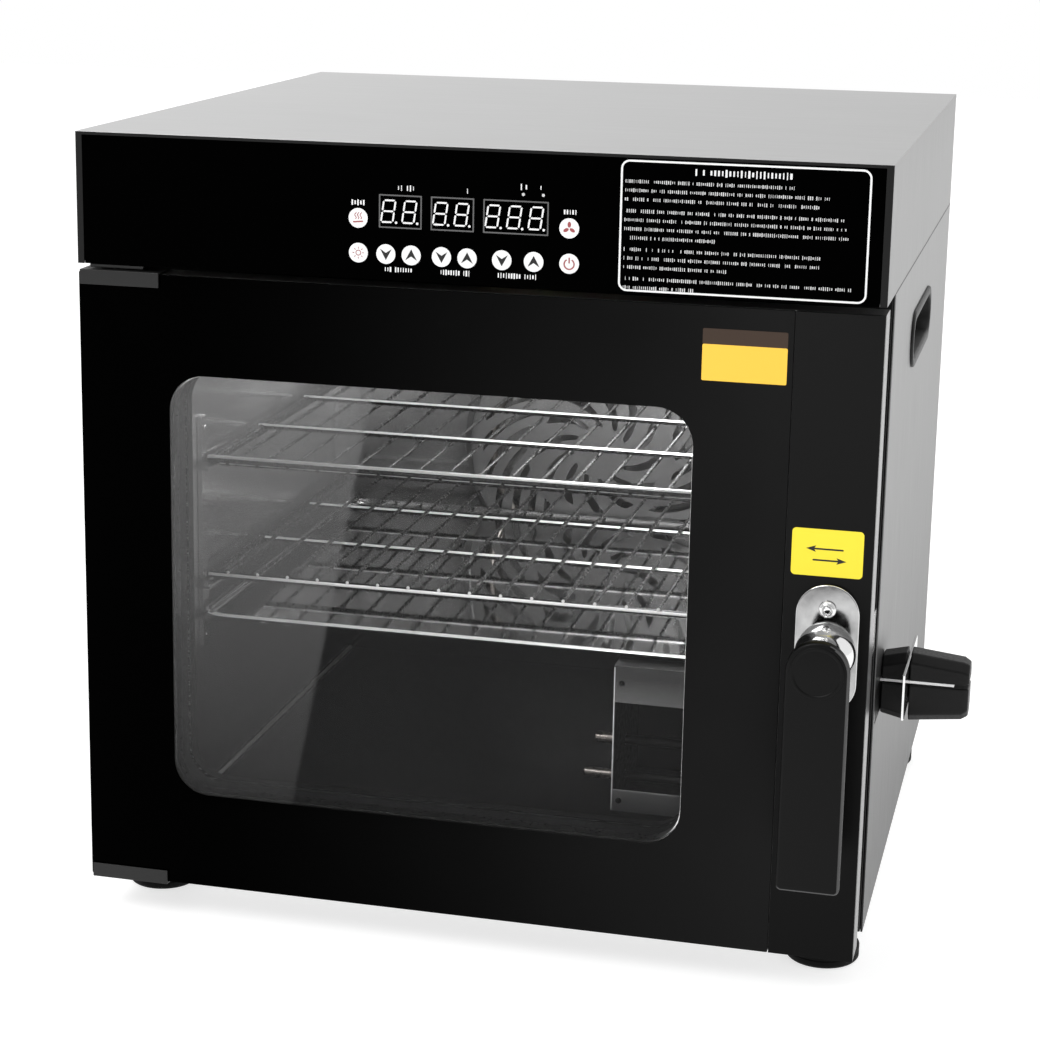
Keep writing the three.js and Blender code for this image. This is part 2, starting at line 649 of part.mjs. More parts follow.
function fanImpeller() {
  const back = chamberBack - slip - guard.sheet;
  const front = back - fan.bladeDepth;
  const tail = motorPlateY + motor.plate + motor.stackDepth + motor.bellDepth / 2;
  const wheel = rod('y', fan.wheel, back - guard.sheet, back, fanX, fanZ, 24);
  const hub = rod('y', fan.hub, front - fan.nose / 2, back, fanX, fanZ, 12);
  let solid = join(wheel, hub, rod('y', fan.shaft, front - fan.nose, tail, fanX, fanZ, 12));
  for (let i = 0; i < fan.blades; i += 1) {
    const blade = new THREE.BoxGeometry(fan.wheel - fan.hub, fan.bladeDepth, fan.bladeStock);
    blade.translate((fan.wheel + fan.hub) / 2 - fan.bladeStock, 0, 0);
    blade.rotateY((2 * Math.PI * i) / fan.blades);
    blade.translate(fanX, back - fan.bladeDepth / 2, fanZ);
    solid = join(solid, toSolid(blade));
  }
  place('fan_impeller', finish(0xb4b6b8, 0.4, 0.8), solid);
}

function fanMotor() {
  const plateFront = motorPlateY;
  const plateEnd = plateFront + motor.plate;
  const stackEnd = plateEnd + motor.stackDepth;
  const w = motor.plateWidth / 2;
  const h = motor.plateHeight / 2;
  const s = motor.stack / 2;
  const solids = [
    box(fanX - w, fanX + w, plateFront, plateEnd, fanZ - h, fanZ + h),
    box(fanX - s, fanX + s, plateFront, stackEnd, fanZ - s, fanZ + s),
    rod('y', motor.bell, plateFront, stackEnd + motor.bellDepth, fanX, fanZ),
  ];
  const postFront = chamberBack + chamber.wall + seat;
  for (const [x, z] of postPlaces) {
    solids.push(rod('y', motor.post, postFront, plateEnd, x, z, 10));
  }
  const bore = rod('y', fan.shaft + seat, plateFront - overrun, cabinet.depth, fanX, fanZ);
  place('fan_motor', finish(0x6d6f72, 0.5, 0.7), cut(join(...solids), bore));
}

function heatingRing() {
  const y = chamberBack - heater.forward;
  const half = heater.legSpread / 2;
  const opening = Math.asin(half / heater.radius);
  const points = [];
  const legX = [fanX + half, fanX - half];
  const legZ = fanZ - heater.radius;
  const bend = heater.tube * 2;
  const legEnds = [y + heater.legDepth + bend, y + heater.legDepth - bend, y + bend];
  legEnds.forEach((legY) => points.push(new THREE.Vector3(legX[0], legY, legZ)));
  const turns = 18;
  const first = -Math.PI / 2 + opening * 2;
  const sweep = 2 * Math.PI - opening * 4;
  for (let i = 0; i <= turns; i += 1) {
    const a = first + (sweep * i) / turns;
    points.push(new THREE.Vector3(fanX + heater.radius * Math.cos(a), y, fanZ + heater.radius * Math.sin(a)));
  }
  legEnds.reverse().forEach((legY) => points.push(new THREE.Vector3(legX[1], legY, legZ)));
  place('heating_ring', finish(0x4a4642, 0.45, 0.8), tube(points, heater.tube, 40));
}

function temperatureProbe() {
  const y = chamberBack - probe.fromBack;
  const wall = chamber.sideInset;
  const outside = wall - chamber.wall - seat;
  const stem = rod('x', probe.radius, outside - 2 * probe.nutWidth, wall + probe.length, y, probeZ, 10);
  const nutIn = rod('x', probe.nut, wall + seat, wall + seat + probe.nutWidth, y, probeZ, 6);
  const nutOut = rod('x', probe.nut, outside - probe.nutWidth, outside, y, probeZ, 6);
  place('temperature_probe', stainless(), join(stem, nutIn, nutOut));
}

const lampSeat = chamberRight - seat;
function lampParts() {
  const flangeFront = lampSeat - cabinet.sheet;
  const socket = rod('x', lamp.socket, flangeFront, chamberRight + lamp.socketDepth, lamp.along, lampZ, 20);
  const flange = rod('x', lamp.flange, flangeFront, lampSeat, lamp.along, lampZ, 20);
  place('lamp_holder', finish(0xe4e0d6, 0.6, 0), join(socket, flange));
  const dome = lensShares.map(([radius, rise]) => new THREE.Vector2(lamp.lens * radius, lamp.lensDepth * rise));
  const edge = [new THREE.Vector2(0, 0), new THREE.Vector2(lamp.lens, 0)];
  const lens = new THREE.LatheGeometry([...edge, ...dome, new THREE.Vector2(0, lamp.lensDepth)], 14);
  lens.rotateZ(Math.PI / 2);
  lens.translate(flangeFront - seat, lamp.along, lampZ);
  place('lamp_lens', clearGlass(), toSolid(lens));
}

function chipHousing() {
  const t = housing.sheet;
  const left = chamberRight - housing.inside;
  const end = chamberRight - seat;
  const back = housing.front + housing.width;
  const shell = box(left, end, housing.front, back, housing.bottom, housing.top);
  const cellar = box(left + t, end - t, housing.front + t, back - t, housing.bottom + t, sleeveFloor);
  const window = box(left + t, end - t, housing.front - overrun, back - t, housing.bottom + housing.lowBand,
    sleeveFloor);
  const sleeve = sleeveBody(end - t, right - cabinet.sheet - seat, 0);
  let solid = cut(join(shell, sleeve), cellar, window, sleeveHollow(left + t, right));
  for (const z of [igniter.low, igniter.high]) {
    solid = cut(solid, rod('x', igniter.radius + boreSlip, left - overrun, left + t + overrun, drawerY, z, 12));
  }
  for (let i = 0; i < drawer.slots; i += 1) {
    const x = left + ((i + 1) * housing.inside) / (drawer.slots + 1) - drawer.slotWidth / 2;
    const half = drawer.slotLength / 2;
    const slot = box(x, x + drawer.slotWidth, drawerY - half, drawerY + half, sleeveFloor - overrun,
      sleeveFloor + t + drawer.slotWidth);
    solid = cut(solid, slot);
  }
  place('chip_housing', stainless(), solid);
}

function igniterElement() {
  const left = chamberRight - housing.inside;
  const z0 = igniter.low;
  const z1 = igniter.high;
  const bend = (z1 - z0) / 2;
  const end = left + igniter.reach;
  const points = [new THREE.Vector3(left - igniter.left, drawerY, z0), new THREE.Vector3(left, drawerY, z0)];
  const arcSteps = 6;
  for (let i = 0; i <= arcSteps; i += 1) {
    const a = -Math.PI / 2 + (Math.PI * i) / arcSteps;
    points.push(new THREE.Vector3(end + bend * Math.cos(a), drawerY, z0 + bend + bend * Math.sin(a)));
  }
  points.push(new THREE.Vector3(left, drawerY, z1), new THREE.Vector3(left - igniter.leftHigh, drawerY, z1));
  const plateEnd = left - seat;
  const half = igniter.plateWidth / 2;
  const low = z0 - igniter.margin;
  const high = z1 + igniter.margin;
  const plate = box(plateEnd - igniter.plate, plateEnd, drawerY - half, drawerY + half, low, high);
  place('igniter', finish(0x55504a, 0.4, 0.85), join(tube(points, igniter.radius, 20), plate));
}

function chipTray() {
  const t = drawer.sheet;
  const left = chamberRight - housing.inside + housing.sheet + slip;
  const end = right - drawer.setIn;
  const front = housing.front + housing.sheet + slip;
  const back = housing.front + housing.width - housing.sheet - slip;
  const bottom = sleeveFloor + housing.sheet + seat;
  const top = housing.top - housing.sheet - slip;
  const shell = box(left, end, front, back, bottom, top);
  const hollow = box(left + t, end - t, front + t, back - t, bottom + t, top + overrun);
  const half = tang.width / 2 + seat;
  const notch = box(end - t - overrun, end + overrun, drawerY - half, drawerY + half, tangZ - seat, top + overrun);
  let solid = cut(shell, hollow, notch);
  for (let i = 0; i < drawer.slots; i += 1) {
    const x = left + ((i + 1) * housing.inside) / (drawer.slots + 1);
    const run = drawer.slotLength / 2;
    solid = cut(solid, box(x, x + drawer.slotWidth / 2, drawerY - run, drawerY + run, bottom - overrun,
      bottom + t + overrun));
  }
  place('chip_tray', finish(0x8f9194, 0.4, 0.9), solid);
}

const tangEnd = right + tang.length;
function drawerTang() {
  const inside = right - drawer.setIn - drawer.sheet - seat;
  const half = tang.width / 2;
  const top = tangZ + tang.stock;
  const strip = box(inside - tang.stock, tangEnd, drawerY - half, drawerY + half, tangZ, top);
  const tab = box(inside - tang.stock, inside, drawerY - half, drawerY + half, top - tang.tab, top);
  place('drawer_tang', stainless(), join(strip, tab));
}

function drawerShield() {
  const halfWidth = shield.width / 2;
  const middle = tangZ + tang.stock / 2;
  const halfHeight = shield.height / 2;
  const x1 = shieldX + shield.stock;
  const plate = box(shieldX, x1, drawerY - halfWidth, drawerY + halfWidth, middle - halfHeight, middle + halfHeight);
  const half = shield.neck / 2 + seat;
  const wide = tang.width / 2 + seat + shield.stock;
  const reach = grip.neckHeight + tang.stock / 2 + seat + seat;
  const window = box(shieldX - overrun, x1 + overrun, drawerY - Math.max(half, wide), drawerY + Math.max(half, wide),
    middle - reach, middle + reach);
  place('drawer_shield', polished(), cut(plate, window));
}

// One section of a grip shell: a half octagon that stands on the tang, or hangs under it
function gripSection(x, height, inset, base, up) {
  const half = grip.depth / 2 - inset;
  const b = grip.bevel;
  const outline = [[-half, 0], [half, 0], [half, height - b], [half - b, height], [b - half, height],
    [-half, height - b]];
  const points = outline.map(([y, z]) => new THREE.Vector3(x, drawerY + y, base + up * z));
  return up > 0 ? points : points.reverse();
}

// Sections of equal count joined into a closed solid, with flat ends
function loft(sections) {
  const count = sections[0].length;
  const position = sections.flat().flatMap((point) => [point.x, point.y, point.z]);
  const index = [];
  for (let s = 0; s + 1 < sections.length; s += 1) {
    for (let i = 0; i < count; i += 1) {
      const a = s * count + i;
      const b = s * count + ((i + 1) % count);
      index.push(a, b, b + count, a, b + count, a + count);
    }
  }
  const last = (sections.length - 1) * count;
  for (let i = 1; i + 1 < count; i += 1) {
    index.push(0, i + 1, i, last, last + i, last + i + 1);
  }
  const geometry = new THREE.BufferGeometry();
  geometry.setAttribute('position', new THREE.Float32BufferAttribute(position, 3));
  geometry.setIndex(index);
  return toSolid(geometry);
}

function gripShell(name, height, up) {
  const last = gripStart + grip.length;
  const base = up > 0 ? tangZ + tang.stock + seat : tangZ - seat;
  const low = height - grip.waist;
  const section = (x, tall, inset) => gripSection(x, tall, inset, base, up);
  const innerPart = loft([section(gripStart, low, 0), section(shieldX - seat, height, 0)]);
  const shoulder = last - grip.endBevel;
  const bevel = grip.endBevel / 2;
  const outerPart = loft([section(shieldX + shield.stock + seat, height, 0), section(shoulder, low, 0),
    section(last, low - bevel, bevel)]);
  const neck = shield.neck / 2;
  const reach = base + up * grip.neckHeight;
  const bridge = box(shieldX - overrun, shieldX + shield.stock + overrun, drawerY - neck, drawerY + neck,
    Math.min(base, reach), Math.max(base, reach));
  place(name, blackPlastic(), join(innerPart, outerPart, bridge));
}

// The window's left, right, lower and upper edges, spread by a margin
function viewEdges(grow) {
  return [view.left - grow, seamX - view.seamInset + grow, view.bottom - grow, doorTop - view.topInset + grow];
}

function doorFrame() {
  const t = cabinet.sheet;
  const left = door.sideGap;
  const back = door.shell;
  const inset = door.return;
  const outer = box(left, doorRight, frameFront, back, door.bottom, doorTop);
  const hollow = box(left + t, doorRight - t, frameFront + t, back - t, door.bottom + t, doorTop - t);
  const openings = [[left + inset, seamX - inset], [seamX + inset, doorRight - inset]].map(([x0, x1]) => box(x0, x1,
    frameFront - overrun, frameFront + t + overrun, door.bottom + inset, doorTop - inset));
  const window = plateXZ(rounded(new THREE.Shape(), ...viewEdges(0), view.radius), back - t - overrun,
    back + overrun);
  const reveal = frameXZ(...viewEdges(t), view.radius + t, t, frameFront, back - t / 2);
  const pinHoles = rod('z', hinge.pin + seat, door.bottom - overrun, doorTop + overrun, hinge.x, hinge.y, 12);
  const spindleHole = rod('y', latch.bore, back - t - overrun, back + overrun, spindleX, latchZ, 12);
  const pan = join(cut(outer, hollow, ...openings, window), reveal);
  place('door_frame', paleSheet(), cut(pan, pinHoles, spindleHole));
}

function doorGlass() {
  const end = seamX - door.seam / 2;
  place('door_glass', blackGlass(), box(door.sideGap, end, 0, glass.thickness, door.bottom, doorTop));
}

function doorStile() {
  const t = cabinet.sheet;
  const left = seamX + door.seam / 2;
  const shell = box(left, doorRight, 0, glass.thickness, door.bottom, doorTop);
  const hollow = box(left + t, doorRight - t, t, glass.thickness + overrun, door.bottom + t, doorTop - t);
  const holes = [rod('y', latch.bore, -overrun, t + overrun, spindleX, latchZ, 12)];
  for (const z of [latchZ + latchScrew.rise, latchZ - latchScrew.drop]) {
    holes.push(rod('y', latchScrew.shank + seat, -overrun, t + overrun, spindleX, z, 10));
  }
  place('door_stile', finish(0x101012, 0.12, 0.1), cut(shell, hollow, ...holes));
}

function doorInnerPanel() {
  const t = cabinet.sheet;
  const front = door.shell + seat;
  const top = chamberTop + mouth.land - mouth.lip;
  const x0 = inner.inset;
  const outer = box(x0, right - x0, front, innerBack, inner.rise, top);
  const hollow = box(x0 + t, right - x0 - t, front - overrun, innerBack - t, inner.rise + t, top - t);
  const window = plateXZ(rounded(new THREE.Shape(), ...viewEdges(0), view.radius), front, innerBack + overrun);
  const ringFront = front + glass.thickness + seat;
  const reveal = frameXZ(...viewEdges(t), view.radius + t, t, ringFront, innerBack - t / 2);
  place('door_inner_panel', stainless(), join(cut(outer, hollow, window), reveal));
}

function doorGlassInner() {
  const [x0, x1, z0, z1] = viewEdges(inner.overlap);
  const front = door.shell + seat;
  place('door_glass_inner', clearGlass(), box(x0, x1, front, front + glass.thickness, z0, z1));
}

function doorSeal() {
  const inset = chamber.sideInset + mouth.lip - seal.offset;
  const low = chamber.floor + mouth.lip - seal.offset;
  const high = chamberTop - mouth.lip + seal.offset;
  const w = seal.width;
  const radius = mouth.radius + w;
  const ring = frameXZ(inset - w, right - inset + w, low - w, high + w, radius, w, innerBack + seat,
    mouthFront - seat);
  place('door_seal', finish(0x3a3a3c, 0.75, 0), ring);
}

// A leaf that laps the door's front corner; sign is 1 at the top and -1 at the bottom
function hingeLeaf(name, edge, sign) {
  const t = hinge.leafStock;
  const x0 = door.sideGap + t;
  const x1 = x0 + hinge.leafLength;
  const pair = (a, b) => [Math.min(a, b), Math.max(a, b)];
  const near = edge + sign * seat;
  const far = near + sign * t;
  const lip = box(x0, x1, -seat - t, -seat, ...pair(far, far - sign * hinge.lip));
  const sheet = box(x0, x1, -seat - t, hinge.leafDepth, ...pair(near, far));
  const hole = rod('z', hinge.pin + seat, ...pair(near - sign * overrun, far + sign * overrun), hinge.x, hinge.y, 12);
  place(name, finish(0x77797c, 0.5, 0.6), cut(join(lip, sheet), hole));
  return far;
}

function hinges() {
  const steel = () => finish(0x8b8d90, 0.45, 0.8);
  hingeLeaf('hinge_leaf_top', doorTop, 1);
  const leafBottom = hingeLeaf('hinge_leaf_bottom', door.bottom, -1);
  const x0 = bracket.left;
  const x1 = x0 + bracket.width;
  const tabRight = x0 + bracket.tab;
  const tabY = frontY - seat;
  const armTop = headBottom - seat;
  const armBottom = armTop - bracket.stock;
  const top = join(
    box(x0, x1, bracket.front, tabY, armBottom, armTop),
    box(x0, tabRight, tabY - bracket.stock, tabY, armTop - bracket.tab, armTop),
    rod('z', hinge.pin, doorTop - hinge.grip, armTop, hinge.x, hinge.y, 12),
  );
  place('hinge_bracket_top', steel(), top);
  const high = leafBottom - seat;
  const low = high - bracket.stock;
  const bottom = join(
    box(x0, x1, bracket.front, tabY, low, high),
    box(x0, tabRight, tabY - bracket.stock, tabY, low, low + bracket.tab),
    rod('z', hinge.pin, low, door.bottom + hinge.grip, hinge.x, hinge.y, 12),
  );
  place('hinge_bracket_bottom', steel(), bottom);
}

function latchBasePlate() {
  const half = latchBase.width / 2;
  const low = latchZ - latchBase.below;
  const high = latchZ + latchBase.above;
  const outline = rounded(new THREE.Shape(), spindleX - half, spindleX + half, low, high, latchBase.radius);
  const holes = [rod('y', latch.bore, latchFront - overrun, overrun, spindleX, latchZ, 12)];
  for (const z of [latchZ + latchScrew.rise, latchZ - latchScrew.drop]) {
    holes.push(rod('y', latchScrew.shank + seat, latchFront - overrun, overrun, spindleX, z, 10));
  }
  place('latch_base', polished(), cut(plateXZ(outline, latchFront, -seat), ...holes));
}

function latchScrews() {
  const back = latchFront - seat;
  const front = back - latchScrew.headHeight;
  const heights = { top: latchZ + latchScrew.rise, bottom: latchZ - latchScrew.drop };
  for (const [end, z] of Object.entries(heights)) {
    const cap = rod('y', latchScrew.head, front, back, spindleX, z, 12);
    const shank = rod('y', latchScrew.shank, front, latchScrew.length, spindleX, z, 8);
    place(`latch_screw_${end}`, polished(), join(cap, shank));
  }
}

function latchCollar() {
  const bore = latch.bore;
  const profile = [
    [bore, 0], [collar.foot, 0], [collar.foot, collar.length * collarShares.rim],
    [collar.shoulder, collar.length * collarShares.shoulder], [collar.waist, collar.length * collarShares.waist],
    [collar.top, collar.length], [bore, collar.length], [bore, 0],
  ];
  const points = profile.map(([radius, height]) => new THREE.Vector2(radius, height));
  const shape = new THREE.LatheGeometry(points, 24);
  shape.rotateX(Math.PI);
  shape.translate(spindleX, latchFront - seat, latchZ);
  place('latch_collar', polished(), toSolid(shape));
}

const socketFront = leverFace + lever.thickness / 2;
function latchLever() {
  const half = lever.width / 2;
  const low = latchZ - lever.drop;
  const blade = (inset, y0, y1) => {
    const shape = new THREE.Shape();
    shape.moveTo(spindleX - half + inset, low + inset);
    shape.lineTo(spindleX + half - inset, low + inset);
    shape.lineTo(spindleX + half - inset, latchZ);
    shape.absarc(spindleX, latchZ, half - inset, 0, Math.PI, false);
    shape.closePath();
    return plateXZ(shape, y0, y1, 12);
  };
  const back = collarFront - seat;
  const body = join(
    blade(0, leverFace + lever.bevel, leverBack),
    blade(lever.bevel, leverFace, leverBack),
    rod('y', lever.boss, leverBack - lever.bevel, back, spindleX, latchZ),
  );
  const s = latch.bar / 2 + seat;
  const z = latchZ;
  const socket = box(spindleX - s, spindleX + s, socketFront, back + overrun, z - s, z + s);
  place('latch_lever', blackPlastic(), cut(body, socket));
}

function latchClaw() {
  const s = latch.bar / 2;
  const z = latchZ;
  const hub0 = door.shell + seat;
  const hub1 = hub0 + claw.hubLength;
  const half = claw.width / 2;
  const solid = join(
    box(spindleX - s, spindleX + s, socketFront + seat, hub1, z - s, z + s),
    rod('y', claw.hub, hub0, hub1, spindleX, z),
    box(spindleX - half, spindleX + half, hub1 - claw.thickness, hub1, z, z + claw.reach),
  );
  place('latch_claw', finish(0x9a9c9f, 0.4, 0.8), solid);
}

function strikePlate() {
  const t = striker.stock;
  const x1 = right - cabinet.sheet - seat;
  const back = frontY - seat;
  const front = back - striker.forward;
  const z0 = latchZ - striker.height / 2;
  const z1 = latchZ + striker.height / 2;
  const solid = join(
    box(x1 - t, x1, front, back, z0, z1),
    box(x1 - striker.lip, x1, front, front + t, z0, z1),
    box(x1 - striker.base, x1, back - t, back, z0, z1),
  );
  place('strike_plate', stainless(), solid);
}

function cordGland() {
  const x = right - gland.fromRight;
  const z = gland.height;
  const face = cabinet.depth + seat;
  const inside = cabinet.depth - cabinet.sheet - seat;
  const end = face + gland.hexDepth + gland.domeDepth;
  const body = join(
    rod('y', gland.hex, face, face + gland.hexDepth, x, z, 6),
    rod('y', gland.dome, face, end, x, z, 14),
    rod('y', gland.thread, inside - gland.tail, face + gland.hexDepth, x, z, 14),
    rod('y', gland.hex, inside - gland.hexDepth, inside, x, z, 6),
  );
  const bore = rod('y', gland.bore, inside - gland.tail - overrun, end + overrun, x, z, 12);
  place('cord_gland', blackPlastic(), cut(body, bore));
}

headCover();
headFloor();
controlGlass();
frontPlate();
displayModules();
controlBoard();
touchSprings();
powerBoard();
sidePanels();
carryCups();
backPanel();
basePanel();
feet();
frontFrame();
chamberLiner();
insulation();
shelfRails();
wireRack('rack_upper', shelf.upper, -1);
wireRack('rack_lower', shelf.lower, 1);
dripTray();
fanGuard();
fanImpeller();
fanMotor();
heatingRing();
temperatureProbe();
lampParts();
chipHousing();
igniterElement();
chipTray();
drawerTang();
drawerShield();
gripShell('drawer_grip_upper', grip.upper, 1);
gripShell('drawer_grip_lower', grip.lower, -1);
doorFrame();
doorGlass();
doorStile();
doorInnerPanel();
doorGlassInner();
doorSeal();
hinges();
latchBasePlate();
latchScrews();
latchCollar();
latchLever();
latchClaw();
strikePlate();
cordGland();

// The origin is under the middle of the whole object, on the surface that it stands on
const reachLeft = -seat - cup.flangeStock;
const reachRight = gripStart + grip.length;
const reachFront = leverFace;
const reachBack = cabinet.depth + seat + gland.hexDepth + gland.domeDepth;
smoker.position.set(-(reachLeft + reachRight) / 2, -(reachFront + reachBack) / 2, foot.height);

const object = new THREE.Group();
object.add(smoker);
export default object;
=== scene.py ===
# Electric smoker: the finish of every surface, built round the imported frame.
# Lengths are millimetres from the cabinet's left side, its head's front and its base.
import json
import math

import bmesh
import bpy
from mathutils import Matrix, Vector

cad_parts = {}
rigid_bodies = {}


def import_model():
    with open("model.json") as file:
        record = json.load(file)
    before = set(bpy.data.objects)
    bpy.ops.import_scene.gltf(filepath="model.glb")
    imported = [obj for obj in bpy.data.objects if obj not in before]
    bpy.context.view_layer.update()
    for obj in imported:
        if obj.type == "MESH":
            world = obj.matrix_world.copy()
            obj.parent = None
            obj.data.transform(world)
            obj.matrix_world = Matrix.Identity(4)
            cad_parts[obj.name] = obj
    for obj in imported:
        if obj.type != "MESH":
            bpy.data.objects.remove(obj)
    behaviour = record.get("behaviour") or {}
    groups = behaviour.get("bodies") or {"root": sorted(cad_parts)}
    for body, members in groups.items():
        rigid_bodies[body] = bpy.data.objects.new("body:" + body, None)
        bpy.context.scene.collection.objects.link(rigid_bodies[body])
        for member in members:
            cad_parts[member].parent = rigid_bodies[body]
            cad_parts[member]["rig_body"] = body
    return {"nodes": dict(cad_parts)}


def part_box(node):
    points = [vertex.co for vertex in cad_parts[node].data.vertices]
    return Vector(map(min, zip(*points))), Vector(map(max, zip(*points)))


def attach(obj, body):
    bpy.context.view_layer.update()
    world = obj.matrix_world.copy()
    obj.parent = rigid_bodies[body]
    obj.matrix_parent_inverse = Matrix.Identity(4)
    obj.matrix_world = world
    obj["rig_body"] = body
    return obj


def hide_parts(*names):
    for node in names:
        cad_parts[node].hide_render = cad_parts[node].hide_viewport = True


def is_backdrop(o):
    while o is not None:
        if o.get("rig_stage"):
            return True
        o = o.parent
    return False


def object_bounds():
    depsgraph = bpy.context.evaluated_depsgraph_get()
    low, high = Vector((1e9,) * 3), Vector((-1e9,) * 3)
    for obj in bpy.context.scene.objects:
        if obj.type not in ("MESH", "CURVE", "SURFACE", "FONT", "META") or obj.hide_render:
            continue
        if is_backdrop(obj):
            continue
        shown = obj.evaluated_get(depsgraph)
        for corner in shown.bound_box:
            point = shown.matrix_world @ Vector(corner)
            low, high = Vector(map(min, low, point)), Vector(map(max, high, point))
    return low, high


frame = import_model()
cadLow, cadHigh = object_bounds()
print("frame loaded:", len(frame["nodes"]), "nodes")

# Places
mm = 0.001
weld = 2e-6  # metres: corners closer than this become one
quarter = math.pi / 2
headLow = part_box("head_cover")[0]
origin = Vector((headLow.x, headLow.y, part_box("side_panel_left")[0].z))


def at(x, y, z):
    return origin + Vector((x, y, z)) * mm


def span(node):
    low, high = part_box(node)
    return (low - origin) / mm, (high - origin) / mm


# A colour as an eye reads it, 0 to 255: one number for a grey, or three
def shade(tone):
    parts = tone if isinstance(tone, tuple) else (tone,) * 3
    return tuple((part / 255) ** 2.2 for part in parts) + (1.0,)


# A node with its sockets set or linked; another node given for a socket is linked by its first output
def addNode(tree, kind, sockets=None, **settings):
    made = tree.nodes.new(kind)
    for name, value in settings.items():
        setattr(made, name, value)
    for name, value in (sockets or {}).items():
        if isinstance(value, bpy.types.Node):
            value = value.outputs[0]
        if isinstance(value, bpy.types.NodeSocket):
            tree.links.new(value, made.inputs[name])
        else:
            made.inputs[name].default_value = value
    return made


def objectPlace(tree, scale):
    place = addNode(tree, "ShaderNodeTexCoord")
    return addNode(tree, "ShaderNodeMapping", {"Vector": place.outputs["Object"], "Scale": scale})


def mapRange(tree, value, start, end, first=0.0, last=1.0):
    return addNode(tree, "ShaderNodeMapRange", {
        "Value": value, "From Min": start, "From Max": end, "To Min": first, "To Max": last})


def reckon(tree, operation, *values):
    return addNode(tree, "ShaderNodeMath", dict(enumerate(values)), operation=operation)


# A finish: one colour clouded by a broad noise, and a fine grain that sets roughness and relief.
# grain stretches the fine noise along an axis, as brushing does.
def finish(name, colour, other, roughness, spread, metallic=0.0, fine=500, relief=0.0, cloud=6.0,
           grain=(1, 1, 1), specular=0.5, **uniform):
    material = bpy.data.materials.new(name)
    material.use_nodes = True
    tree = material.node_tree
    shader = tree.nodes["Principled BSDF"]
    broad = addNode(tree, "ShaderNodeTexNoise", {
        "Vector": objectPlace(tree, (1, 1, 1)), "Scale": cloud, "Detail": 3.0})
    blend = addNode(tree, "ShaderNodeMix", {0: broad, 6: shade(colour), 7: shade(other)}, data_type="RGBA")
    close = addNode(tree, "ShaderNodeTexNoise", {
        "Vector": objectPlace(tree, grain), "Scale": fine, "Detail": 2.0})
    rough = mapRange(tree, close, 0.3, 0.7, roughness - spread, roughness + spread)
    tree.links.new(blend.outputs[2], shader.inputs["Base Color"])
    tree.links.new(rough.outputs[0], shader.inputs["Roughness"])
    if relief:
        bump = addNode(tree, "ShaderNodeBump", {"Height": close, "Strength": relief, "Distance": 0.0003})
        tree.links.new(bump.outputs[0], shader.inputs["Normal"])
    shader.inputs["Metallic"].default_value = metallic
    shader.inputs["Specular IOR Level"].default_value = specular
    for socket, value in uniform.items():
        shader.inputs[socket.replace("_", " ")].default_value = value
    return material


brushedAlong = {"x": (0.02, 1, 1), "z": (1, 1, 0.02)}

satinTop = finish("satinSteelAcross", 191, 186, 0.36, 0.03, 0.85, 900, 0.02, grain=brushedAlong["x"])
satinSide = finish("satinSteelUpright", 190, 184, 0.38, 0.03, 0.85, 900, 0.02, grain=brushedAlong["z"])
linerSteel = finish("chamberSteel", 158, 146, 0.17, 0.02, 0.78, 200, grain=brushedAlong["x"])
partSteel = finish("brightSheet", 182, 172, 0.26, 0.04, 1.0, 800, 0.02, grain=brushedAlong["x"])
# Steel of the chamber's mouth, darkened as painted shade so that the gap between door and cabinet reads dark
shadedFrameSteel = finish("mouthSteel", 58, 50, 0.30, 0.04, 0.95, 800, 0.02, grain=brushedAlong["x"])
housingSteel = finish("housingSteel", 78, 68, 0.34, 0.05, 0.95, 600, 0.03, grain=brushedAlong["x"])
guardSteel = finish("guardSteel", 158, 142, 0.20, 0.04, 0.7, 300, 0.02)
doorSteel = finish("doorShellSteel", 132, 122, 0.32, 0.04, 0.95, 600, 0.02)
# Near-white rod steel is a painted highlight: on the rods' upper faces, the lower rack's cut wire ends and
# front band, the tray's front rim, the housing's hem and the drawer tang
rodSteel = finish("rodSteel", 254, 248, 0.34, 0.04, 0.35, 400)
# Dark wire steel: the wires' colour, and the painted shade on the rods' lower faces
wireSteel = finish("wireSteel", 72, 58, 0.26, 0.04, 0.95, 400)
traySteel = finish("traySteel", 214, 204, 0.05, 0.01, 1.0, 60, 0.0)
# A near-white, unmetallic seam finish: a painted highlight along the chamber's left floor seam
seamSteel = finish("seamSteel", 252, 244, 0.5, 0.04, 0.0, 300, 0.02)
# Chrome of the latch plate with a broad dark-and-light mottle: a painted reflection
plateChrome = finish("plateChrome", 206, 88, 0.12, 0.04, 1.0, 300, 0.02, 70.0)
revealSteel = finish("revealSteel", 70, 62, 0.30, 0.04, 0.95, 500, 0.02)
chrome = finish("polishedSteel", 232, 224, 0.10, 0.03, 1.0, 300, 0.01)
blackGlass = finish("blackGlass", 1, 4, 0.06, 0.02, 0.0, 60, specular=0.006)
doorPrint = finish("doorBlack", 8, 12, 0.12, 0.02, 0.0, 60, specular=0.006)
rimBlack = finish("rimBlack", 26, 20, 0.4, 0.05, 0.0, 400, 0.05, specular=0.2)
stilePaint = finish("stileBlack", 20, 23, 0.34, 0.03, 0.0, 700, 0.05, specular=0.10)
# Dark steel: soot on the chip tray and the igniter's end, and painted shade in the chip housing's hollow
sootedSteel = finish("sootedSteel", 20, 14, 0.5, 0.1, 0.6, 300, 0.1, 40.0)
handlePlastic = finish("handlePlastic", 13, 10, 0.42, 0.06, 0.0, 900, 0.15, specular=0.14)
